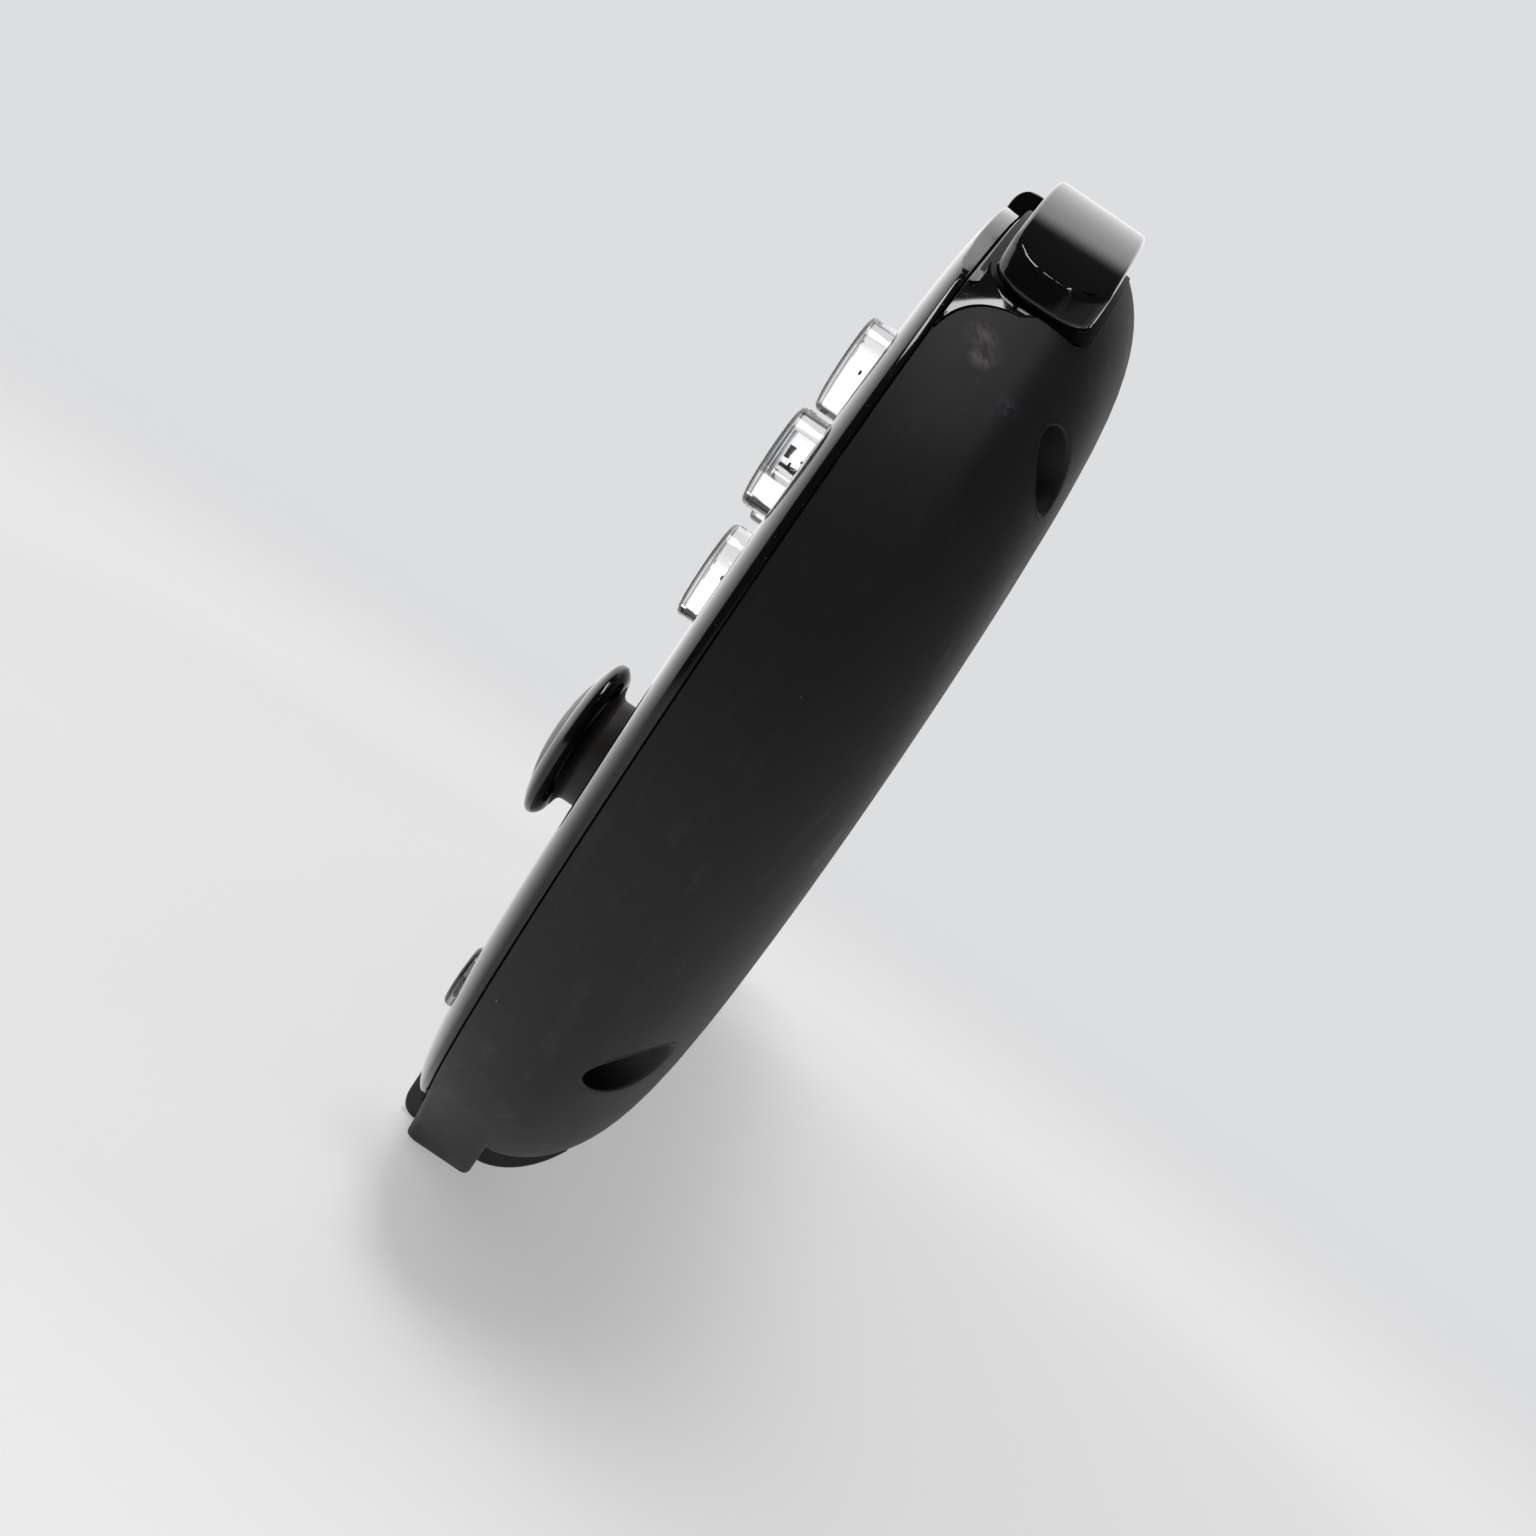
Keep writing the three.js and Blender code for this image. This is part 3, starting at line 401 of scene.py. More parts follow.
BUTTON_LOW, BUTTON_HIGH = span("right_shoulder_button")
BUTTON_RADIUS = 42.1
BUTTON_FRONT = BUTTON_LOW[1]
BUTTON_BACK = BUTTON_HIGH[1]
BUTTON_BOTTOM = 29.05
BUTTON_THICK = 2.4
BUTTON_INNER_X = BUTTON_LOW[0]
BUTTON_TIP_X = 79.7
BAY_FRONT = BUTTON_FRONT - 0.3
BAY_BACK = BUTTON_BACK + 0.45
BAY_BOTTOM = 28.68
BAY_FRONT_ROUND = (3.4, 2.0)
BAY_BACK_ROUND = (1.1, 1.2)
BAY_FLOOR_RADII = (39.2, 38.2)
BAY_FLOOR_TURNS = (48, 82)  # degrees
DIP_RADIUS = 38.5  # the front plate and the corner trim are lower beside the shoulder button
DIP_LIP = 36.8
DIP_TURNS = (60, 40)  # degrees: level down to the first, back at the full outline at the second

LUG_INNER = 54.0
LUG_LEAN = 60.0
LUG_FLAT = 58.2
LUG_BACK = WIDEST_Y + 0.1

WELL_RADIUS = 2.5
WELL_ROUND = 0.35  # rounding of the well's rim
WELL_BOSS = 4.0
WELL_FLOOR = WIDEST_Y - 1.0

CAP_RISE = FACE_Y - span("button_east")[0][1]
CAP_RADIUS = 3.6
SMALL_RADIUS = 2.3
HOME_RADIUS = 3.0
PAD_HALF = 10.3
PAD_ARM = 3.5
PAD_HOLE_HALF = 10.68  # the pad tilts, so its hole is wider than it
PAD_HOLE_ARM = 3.88
STICK_HOLE = 6.5
BUTTON_GAP = 0.13  # dark line round each button


# ---- Housing ------------------------------------------------------------------------------------------
def side_limit(name, bottom, front, back, low, high, front_round, back_round):
    """A tool that keeps what is above a U-shaped line in side view; the rounds are (depth, height)."""
    top = BUTTON_RADIUS + 4
    line = [(front, up(top))]
    line += bezier((front, up(bottom + front_round[1])), (front, up(bottom + front_round[1] * 0.45)),
                   (front + front_round[0] * 0.4, up(bottom)), (front + front_round[0], up(bottom)), 14)
    line += bezier((back - back_round[0], up(bottom)), (back - back_round[0] * 0.4, up(bottom)),
                   (back, up(bottom + back_round[1] * 0.45)), (back, up(bottom + back_round[1])), 14)
    line.append((back, up(top)))
    return prism(name, "x", line, low, high, 4)


def bay_tool(side):
    """A tool for the room that the shoulder button sits in."""
    low, high = (TOP_HALF + HAIRLINE, SPINE + END_RADIUS + 1)
    tool = side_limit("bay", BAY_BOTTOM, BAY_FRONT, BAY_BACK, low, high, BAY_FRONT_ROUND, BAY_BACK_ROUND)
    return sided(tool, side)


def corner_line(grow):
    """Side view of the corner trim: a narrow band in front of the bay that widens under it."""
    bottom = 24.2 - grow
    line = [(SEAM_Y - 1, up(bottom)), (SEAM_Y + grow, up(bottom))]
    line += bezier((SEAM_Y + grow, up(bottom)), (SEAM_Y + 0.4 + grow, up(26.6 - grow)),
                   (SEAM_Y + 1.6 + grow, up(27.7 - grow)), (WIDEST_Y - 1.3, up(28.1 - grow)), 18)[1:]
    line += [(WIDEST_Y - 0.45 + grow, up(28.75)), (WIDEST_Y - 0.45 + grow, up(46)), (SEAM_Y - 1, up(46))]
    return line


def corner_tool(side, grow):
    tool = prism("corner", "x", corner_line(grow), TOP_HALF + HAIRLINE, SPINE + END_RADIUS + 1, 4)
    return sided(tool, side)


def lug(side):
    """It leaves the rounded end along its tangent and comes down to the level of the foot."""
    lean = math.radians(LUG_LEAN)
    rings = []
    for y in (SEAM_Y, SEAM_Y + 0.35, *np.linspace(SEAM_Y + 1, LUG_BACK - 0.6, 6), LUG_BACK):
        radius = END_RADIUS - side_inset(y) - 0.01
        start = (SPINE + radius * math.cos(lean), -radius * math.sin(lean))
        turn = (61.6, start[1] - (start[0] - 61.6) / math.tan(lean))
        line = [start] + bend(turn, (60.2, turn[1] - 1.4 / math.tan(lean)), (LUG_FLAT, -BOTTOM_RADIUS), 10)
        line += [(LUG_INNER, -BOTTOM_RADIUS), (LUG_INNER, -38.8), (start[0] - 2.5, start[1] + 0.6)]
        rings.append(np.array([(x, y, up(z)) for x, z in line]))
    return sided(soften(loft("lug", rings), 0.5, 4, angle=40), side)


def spine_point(radius, degrees):
    """A point of the right end in front view, from its distance to the spine and its direction."""
    turn = math.radians(degrees)
    return (SPINE + radius * math.cos(turn), up(radius * math.sin(turn)))


def corner_dip(side):
    """A tool for the room beside the shoulder button, in front of its bay."""
    level, start = DIP_TURNS
    low = TOP_HALF + HAIRLINE
    line = [(low, up(DIP_RADIUS))] + [spine_point(DIP_RADIUS, turn) for turn in range(90, level - 1, -3)]
    line += bezier(spine_point(DIP_RADIUS, level), spine_point(DIP_RADIUS + 0.05, level - 6),
                   spine_point(END_RADIUS - 0.4, start + 6), spine_point(END_RADIUS + 0.1, start), 16)[1:]
    line += [(97, up(24)), (97, up(48)), (low, up(48))]
    return sided(prism("dip", "y", line, FACE_Y - 1, BAY_FRONT), side)


def bay_floor(name):
    """A thin curved shelf under the right shoulder button, which closes the bay."""
    outer, inner = BAY_FLOOR_RADII
    line = arc(SPINE, CENTRE_Z, outer, *BAY_FLOOR_TURNS, 30)
    line += arc(SPINE, CENTRE_Z, inner, *BAY_FLOOR_TURNS[::-1], 30)
    shelf = prism(name, "y", line, BAY_FRONT - 0.4, BAY_BACK + 0.2)
    return shade(soften(shelf, 0.1, 2, angle=40))


def back_height(x, z):
    """Depth of the housing's rear skin over a point."""
    distance = math.hypot(max(abs(x) - SPINE, 0), z - CENTRE_Z)
    share = max(1 - (distance / END_RADIUS) ** SIDE_POWER, 0)
    return WIDEST_Y + BACK_DEPTH * share ** (1 / BACK_POWER)


def well_places():
    for node in [n for n in frame["nodes"] if n.startswith("screw_")]:
        x, _, z = middle(node)
        yield node, x, z


def rear_housing():
    shell = pillow("rear_housing", END_RADIUS, BACK_DEPTH, SEAM_Y)
    cut(shell, pillow("hollow", END_RADIUS - WALL, BACK_DEPTH - BACK_WALL, SEAM_Y - 1))
    for side in (1, -1):
        join(shell, lug(side))
        cut(shell, bay_tool(side), corner_tool(side, HAIRLINE))
    reach = TRIM_BACK + HAIRLINE
    cut(shell,
        block("top", (-TOP_HALF - HAIRLINE, SEAM_Y - 1, up(34)), (TOP_HALF + HAIRLINE, reach, up(44))),
        block("bottom", (-BOTTOM_HALF - HAIRLINE, SEAM_Y - 1, up(-44)),
              (BOTTOM_HALF + HAIRLINE, reach, up(-34))),
        prism("pad", "y", node_outline("rear_touch_pad", "y", HAIRLINE, 6.1), BACK_Y - 1.0, BACK_Y + 1),
        rod("lens", "y", span("rear_camera")[1][0] + HAIRLINE, WIDEST_Y + 3, BACK_Y + 1,
            middle("rear_camera")[[0, 2]], 96))
    for _, x, z in well_places():
        boss = rod("boss", "y", WELL_BOSS, WELL_FLOOR - 1.4, BACK_Y + 1, (x, z))
        join(shell, common(boss, pillow("inside", END_RADIUS - 0.4, BACK_DEPTH - 0.4, SEAM_Y)))
        cut(shell, rod("well", "y", WELL_RADIUS + WELL_ROUND, WELL_FLOOR, BACK_Y + 1, (x, z), 96),
            rod("hole", "y", 1.3, WELL_FLOOR - 3, WELL_FLOOR + 1, (x, z), 32))
    soften(shell, 0.09, 2, angle=40, weld=0.02)
    return shade(shell, body_skin(END_RADIUS, BACK_DEPTH))


def beside(x, z, radius, turn):
    return (x + radius * math.cos(turn), z + radius * math.sin(turn))


def well_rim(name, x, z, steps=96):
    """The wall of a screw well, which rolls over softly into the housing's skin."""
    rings = []
    for i in range(steps):
        turn = 2 * math.pi * i / steps
        outer = WELL_RADIUS + WELL_ROUND
        height = back_height(*beside(x, z, WELL_RADIUS, turn))
        edge = (outer, back_height(*beside(x, z, outer, turn)))
        inner = (WELL_RADIUS, height - WELL_ROUND * 1.1)
        corner = (WELL_RADIUS + 0.02, height - 0.02)
        line = [(outer, WELL_FLOOR)] + bend(edge, corner, inner, 8) + [(WELL_RADIUS, WELL_FLOOR)]
        places = [(beside(x, z, r, turn), y) for r, y in line]
        rings.append([(place[0], y, place[1]) for place, y in places])
    count = len(rings[0])
    faces = []
    for i in range(steps):
        a, b = i * count, (i + 1) % steps * count
        faces += [(a + k, a + (k + 1) % count, b + (k + 1) % count, b + k) for k in range(count)]
    obj = make(name, np.concatenate(rings), faces)
    return shade(obj, body_skin(END_RADIUS, BACK_DEPTH), angle=50)


def corner_trim(name):
    lip = pillow("lip", END_RADIUS, BACK_DEPTH, SEAM_Y)
    cut(lip, pillow("inside", DIP_LIP, BACK_DEPTH, SEAM_Y - 1))
    low = TOP_HALF + HAIRLINE
    common(lip, block("reach", (low, SEAM_Y - 1, up(BAY_BOTTOM + 1)), (95, BAY_FRONT, up(45))))
    wall = pillow(name, END_RADIUS, BACK_DEPTH, SEAM_Y)
    cut(wall, pillow("hollow", END_RADIUS - WALL, BACK_DEPTH - BACK_WALL, SEAM_Y - 1))
    common(wall, corner_tool(1, 0))
    cut(wall, bay_tool(1))
    join(wall, lip)
    cut(wall, corner_dip(1))
    soften(wall, 0.14, 3, angle=40, weld=0.02)
    return shade(wall, body_skin(END_RADIUS, BACK_DEPTH))


def strip_line(radius, depth):
    """Section of an edge strip: down over the front face, along the edge and round to the back."""
    line = [(FACE_Y, radius - TRIM_DROP)]
    line += bezier((FACE_Y, radius - 1.9), (FACE_Y, radius - 0.7), (FACE_Y + 0.5, radius),
                   (FACE_Y + 1.6, radius), 14)
    rear = [WIDEST_Y + share * (TRIM_BACK - WIDEST_Y) for share in np.sin(np.linspace(0, math.pi / 2, 16))]
    skin = [back_radius(radius, depth, y) for y in rear]
    line += list(zip(rear, skin))
    line += [(y, r - TRIM_WALL) for y, r in reversed(list(zip(rear, skin)))]
    return line + [(FACE_Y + TRIM_WALL, radius - TRIM_WALL), (FACE_Y + TRIM_WALL, radius - TRIM_DROP)]


def top_strip():
    line = [(y, up(z)) for y, z in strip_line(TOP_RADIUS, 8.0)]
    strip = prism("top_edge_strip", "x", line, -TOP_HALF, TOP_HALF, 30)
    for node in ("game_card_cover", "memory_card_cover"):
        low, high = span(node)
        cut(strip, block("door", (low[0] - EDGE_GAP, low[1] - EDGE_GAP, up(38)),
                         (high[0] + EDGE_GAP, high[1] + EDGE_GAP, up(44))))
    for node in ("power_button", "volume_down", "volume_up"):
        cut(strip, prism("key", "z", node_outline(node, "z", EDGE_GAP, 1.15), up(38), up(44)))
    return shade(soften(strip, 0.22, 3, angle=40))


def bottom_strip():
    line = [(y, up(-z)) for y, z in strip_line(BOTTOM_RADIUS, 7.8)]
    strip = prism("bottom_edge_strip", "x", line, -BOTTOM_HALF, BOTTOM_HALF, 30)
    foot = rounded(FOOT_HALF, 4.9, 1.6, 0, 0.9)
    join(strip, prism("foot", "z", foot, up(-BOTTOM_RADIUS), up(-BOTTOM_RADIUS + 3.4)))
    x, y, _ = middle("headphone_jack")
    low, high = span("usb_port")
    cut(strip, rod("jack", "z", high_radius("headphone_jack") + 0.1, up(-50), up(-36), (x, y)),
        prism("usb", "z", rounded((high[0] - low[0]) / 2 + 0.1, (high[1] - low[1]) / 2 + 0.1, 0.7,
                                  middle("usb_port")[0], middle("usb_port")[1]), up(-50), up(-36)))
    return shade(soften(strip, 0.22, 3, angle=40))


def high_radius(node):
    low, high = span(node)
    return (high[0] - low[0]) / 2


# ---- Front --------------------------------------------------------------------------------------------
def cross(half, arm, x, z, round_in=0.6, round_out=1.2):
    """Outline of the direction pad, with rounded arms and soft inner corners."""
    line = []
    for k in range(4):
        c, s = [(1, 0), (0, 1), (-1, 0), (0, -1)][k]
        arms = arc(half - round_out, -arm + round_out, round_out, -90, 0, 6)
        arms += arc(half - round_out, arm - round_out, round_out, 0, 90, 6)
        inner = arc(arm + round_in, arm + round_in, round_in, -90, -180, 5)
        line += [(x + u * c - v * s, z + u * s + v * c) for u, v in arms + inner]
    return line


def front_plate():
    shares = [1, 0.9998, 0.9992, 0.998, 0.996, 0.993, 0.989, 0.983, 0.975, 0.965, 0.952, 0.936, 0.916, 0.89,
              0.86, 0.82, 0.77, 0.7]
    rings = [body_ring(COVER_EDGE, SEAM_Y - HAIRLINE)]
    rings += [body_ring(COVER_EDGE * share, cover_y(COVER_EDGE * share)) for share in shares]
    rings.append(body_ring(COVER_EDGE * 0.6, PLATE_Y))
    plate = loft("front_plate", rings)
    low, high = FACE_Y - 1, SEAM_Y + 1
    tools = [prism("window", "y", node_outline("display_glass", "y", 0.06, 1.3), low, high)]
    for node, radius in BUTTON_RADII.items():
        x, _, z = middle(node)
        tools.append(rod("hole", "y", radius + BUTTON_GAP, low, high, (x, z), 96))
    for node in ("left_stick_cap", "right_stick_cap"):
        x, _, z = middle(node)
        tools.append(rod("hole", "y", STICK_HOLE, low, high, (x, z), 96))
    x, _, z = middle("dpad")
    tools.append(prism("cross", "y", cross(PAD_HOLE_HALF, PAD_HOLE_ARM, x, z), low, high))
    x, _, z = middle("front_camera")
    tools.append(rod("lens", "y", high_radius("front_camera") + 0.08, low, high, (x, z), 48))
    for node in ("left_speaker", "right_speaker"):
        x, _, z = middle(node)
        tools += [prism("slot", "y", rounded(3.2, 0.33, 0.32, x, z + 1.7 * k, 5), low, high)
                  for k in (1, 0, -1)]
    for half, radius, side in ((TOP_HALF, TOP_RADIUS, 1), (BOTTOM_HALF, BOTTOM_RADIUS, -1)):
        edge = sorted((up(side * (radius - TRIM_DROP - HAIRLINE)), up(side * 46)))
        tools.append(block("strip", (-half - HAIRLINE, low, edge[0]), (half + HAIRLINE, high, edge[1])))
    tools += [corner_dip(1), corner_dip(-1)]
    cut(plate, *tools)
    soften(plate, 0.12, 2, angle=40, weld=0.02)
    return shade(plate, cover_skin, body_skin(END_RADIUS, BACK_DEPTH))


BUTTON_RADII = {"button_north": CAP_RADIUS, "button_east": CAP_RADIUS, "button_south": CAP_RADIUS,
                "button_west": CAP_RADIUS, "start_button": SMALL_RADIUS, "select_button": SMALL_RADIUS,
                "home_button": HOME_RADIUS}


def clear_cap(name, radius, rise, x, z):
    """A clear cap with a softly domed top and a flange behind the plate."""
    edge = min(0.4, rise * 0.5)
    top = [(0, -rise), (radius * 0.4, -rise + 0.015), (radius * 0.7, -rise + 0.06)]
    top += [(r, y) for r, y in arc(radius - edge, -rise + edge + 0.09, edge, -90, 0, 10)]
    back = 2.2
    body = [(radius, 0.4), (radius, 1.9), (radius + 0.6, 2.0), (radius + 0.6, back)]
    inner = [(0, back)]
    cap = revolve(name, top + body + inner, (x, FACE_Y, z), 96)
    return shade(cap, angle=45)


def cap_mark(name, x, z):
    """A tiny dark dot inside a clear cap."""
    line = [(0, -0.97), (0.1, -0.95), (0.13, -0.9), (0.1, -0.82), (0, -0.8)]
    return shade(revolve(name, line, (x, FACE_Y, z), 24))


def solid_cap(name, radius, rise, x, z):
    edge = min(0.4, rise * 0.6)
    line = [(0, -rise), (radius * 0.5, -rise + 0.02)]
    line += arc(radius - edge, -rise + edge + 0.05, edge, -90, 0, 8)
    line += [(radius, 0.4), (radius, 1.9), (radius + 0.5, 2.0), (radius + 0.5, 2.5), (0, 2.5)]
    return shade(revolve(name, line, (x, FACE_Y, z), 72), angle=45)


STICK_LINE = [(0, -4.85), (0.8, -4.84), (1.66, -4.78), (2.5, -4.67), (3.3, -4.5), (3.95, -4.31),
              (4.32, -4.17),
              (4.4, -4.12), (4.46, -4.15), (4.55, -4.17), (4.95, -4.06), (5.4, -3.88), (5.7, -3.73),
              (5.88, -3.6), (6.0, -3.43), (6.04, -3.25), (6.0, -3.05), (5.88, -2.85), (5.68, -2.66),
              (5.4, -2.49), (5.1, -2.4), (4.84, -2.35), (4.5, -2.27), (4.2, -2.15), (4.06, -2.0), (4.0, -1.8),
              (4.0, 1.3), (3.6, 1.6), (1.5, 1.9), (1.5, 2.8), (2.2, 4.0), (2.35, 4.6), (2.2, 5.3), (1.6, 6.2),
              (0.8, 6.6), (0, 6.7)]
DOME_EDGE = 4.4  # the satin dome ends here and the gloss rim begins
NECK_EDGE = 4.9


def stick(name, x, z):
    obj = shade(revolve(name, STICK_LINE, (x, FACE_Y, z), 96), angle=50)
    for face in obj.data.polygons:
        px, py, pz = np.array(face.center) / MM - (x, FACE_Y, z)
        radius = math.hypot(px, pz)
        if py > -2.6 and radius < NECK_EDGE:
            face.material_index = 2
        elif radius > DOME_EDGE:
            face.material_index = 1
    return obj


def direction_pad(name, x, z):
    pad = prism(name, "y", cross(PAD_HALF, PAD_ARM, x, z), FACE_Y - 1.8, FACE_Y + 2.7)
    flange = rod("flange", "y", 9.8, FACE_Y + 2.6, FACE_Y + 3.3, (x, z), 72)
    ball = 26.0
    hollow = [(0, -1.25)]
    hollow += [(ball * math.sin(t), -1.25 - ball * (1 - math.cos(t))) for t in np.linspace(0.02, 0.4, 24)]
    hollow += [(ball * math.sin(0.4), -8), (0, -8)]
    join(pad, flange)
    cut(pad, revolve("hollow", hollow, (x, FACE_Y, z), 96),
        rod("bore", "y", 1.6, FACE_Y + 1.2, FACE_Y + 5, (x, z), 32))
    for k in range(4):
        turn = k * math.pi / 2
        spot = (x + 7.9 * math.cos(turn), z + 7.9 * math.sin(turn))
        mark = [(spot[0] + 0.75 * math.cos(turn + a), spot[1] + 0.75 * math.sin(turn + a))
                for a in np.radians([0, 120, 240])]
        cut(pad, prism("mark", "y", mark, FACE_Y - 3, FACE_Y - 1.38))
    return shade(soften(pad, 0.3, 3, angle=40), angle=40)


# ---- Shoulder buttons ---------------------------------------------------------------------------------
def shoulder_skin(points):
    distance, dx, dz = from_spine(points)
    return np.abs(distance - BUTTON_RADIUS), np.column_stack([dx, np.zeros(len(dx)), dz])


def shoulder_button(name):
    """An arched strip over the corner, which ends in an upright wall with a rounded plan."""
    start = math.asin((BUTTON_BOTTOM - 3) / BUTTON_RADIUS)
    turns = np.degrees(start), 90
    line = arc(SPINE, CENTRE_Z, BUTTON_RADIUS, *turns, 48)
    line += [(BUTTON_INNER_X, up(BUTTON_RADIUS)), (BUTTON_INNER_X, up(BUTTON_RADIUS - BUTTON_THICK))]
    line += arc(SPINE, CENTRE_Z, BUTTON_RADIUS - BUTTON_THICK, *turns[::-1], 24)
    button = prism(name, "y", line, BUTTON_FRONT, BUTTON_BACK, 6)
    half, mid, depth = (BUTTON_BACK - BUTTON_FRONT) / 2, (BUTTON_BACK + BUTTON_FRONT) / 2, 2.6
    plan = [(BUTTON_INNER_X - 1, mid - half - 0.5)]
    for t in np.linspace(-math.pi / 2, math.pi / 2, 41):
        wide = math.copysign(abs(math.sin(t)) ** (2 / 2.5), t)
        plan.append((BUTTON_TIP_X - depth + depth * math.cos(t) ** (2 / 2.2), mid + (half + 0.02) * wide))
    plan.append((BUTTON_INNER_X - 1, mid + half + 0.5))
    common(button, prism("plan", "z", plan, up(24), up(48)),
           side_limit("limit", BUTTON_BOTTOM, BUTTON_FRONT - 0.02, BUTTON_BACK + 0.02, BUTTON_INNER_X - 1, 95,
                      (3.2, 1.8), (3.2, 1.8)))
    soften(button, 0.42, 4, angle=35, weld=0.05)
    shade(button, shoulder_skin)
    return button


# ---- Small pieces -------------------------------------------------------------------------------------
def card_door(name, node):
    low, high = span(node)
    radius = (high[2] - low[2]) / 2
    line = arc(high[1] - radius, low[2] + radius, radius, -90, 90, 12)
    line += [(low[1], high[2]), (low[1], low[2])]
    door = prism(name, "x", line, low[0], high[0], 2)
    notch = rod("notch", "y", 2.4, low[1] - 1, low[1] + 0.55, (middle(node)[0], high[2] + 1.95), 48)
    return shade(soften(cut(door, notch), 0.16, 3, angle=40))


def edge_key(name, node, sign=None):
    low, high = span(node)
    line = node_outline(node, "z", 0, 1.08)
    key = prism(name, "z", line, low[2], high[2])
    if sign:
        x, y, _ = middle(node)
        bars = [(0.9, 0.16)] if sign == "minus" else [(0.9, 0.16), (0.16, 0.9)]
        for u, v in bars:
            cut(key, block("bar", (x - u, y - v, high[2] - 0.14), (x + u, y + v, high[2] + 1)))
    return shade(soften(key, 0.09, 2, angle=40))


def lens(name, node, outward, ring):
    """A lens with a rounded metal ring; outward is -1 for the front and 1 for the back."""
    x, _, z = middle(node)
    low, high = span(node)
    face = low[1] if outward < 0 else high[1]
    radius = high_radius(node)
    line = [(0, -0.35), (ring * 0.5, -0.3), (ring, -0.12), (ring + 0.1, -0.45), (ring + 0.35, -0.5),
            (radius - 0.45, -0.1), (radius - 0.25, 0), (radius - 0.05, -0.04), (radius, -0.14),
            (radius, -3.4), (0, -3.4)]
    obj = revolve(name, [(r, outward * y) for r, y in line], (x, face, z), 72)
    for item in obj.data.polygons:
        px, _, pz = np.array(item.center) / MM - (x, face, z)
        item.material_index = 1 if math.hypot(px, pz) > ring else 0
    return shade(obj, angle=40)


def screw(name, node):
    x, _, z = middle(node)
    low, high = span(node)
    head = high[1]
    line = [(0, head), (1.5, head - 0.02), (1.9, head - 0.18), (2.06, head - 0.42), (2.08, head - 1.35),
            (1.0, head - 1.4)]
    line += [(1.0, low[1] + 0.4), (0.7, low[1]), (0, low[1])]
    obj = revolve(name, line, (x, 0, z), 48)
    for u, v in ((1.15, 0.24), (0.24, 1.15)):
        cut(obj, block("slot", (x - u, head - 0.75, z - v), (x + u, head + 1, z + v)))
    return shade(soften(obj, 0.07, 2, angle=40))


def jack(name):
    x, y, _ = middle("headphone_jack")
    low, high = span("headphone_jack")
    radius = high_radius("headphone_jack")
    profile = [(1.75, 9), (1.75, 0.5), (1.95, 0.2), (2.2, 0.05), (2.5, 0), (radius - 0.1, 0.06),
               (radius, 0.2), (radius, 9.6)]
    line = [(0, 9)] + profile + [(0, 9.6)]
    obj = revolve(name, line, steps=64)
    obj.data.transform(Matrix.Rotation(math.radians(90), 4, "X"))
    moved(obj, x, y, low[2])
    for item in obj.data.polygons:
        px, py, pz = np.array(item.center) / MM - (x, y, low[2])
        item.material_index = 1 if math.hypot(px, py) < 1.9 and pz > 0.15 else 0
    return shade(obj, angle=40)


def usb_socket(name):
    low, high = span("usb_port")
    x, y, _ = middle("usb_port")
    u, v = (high[0] - low[0]) / 2, (high[1] - low[1]) / 2
    can = prism(name, "z", rounded(u, v, 0.65, x, y), low[2], high[2])
    cut(can, prism("inside", "z", rounded(u - 0.3, v - 0.3, 0.4, x, y), low[2] - 1, high[2] - 1))
    join(can, block("tongue", (x - u + 1.0, y - 0.28, low[2] + 0.7), (x + u - 1.0, y + 0.28, high[2] - 0.5)))
    return shade(soften(can, 0.07, 2, angle=40))


def plate(name, node, corner, edge):
    """A flat plate in place of a CAD node that is seen from the front or the back."""
    low, high = span(node)
    obj = prism(name, "y", node_outline(node, "y", 0, corner), low[1], high[1])
    return shade(soften(obj, edge, 3, angle=40))


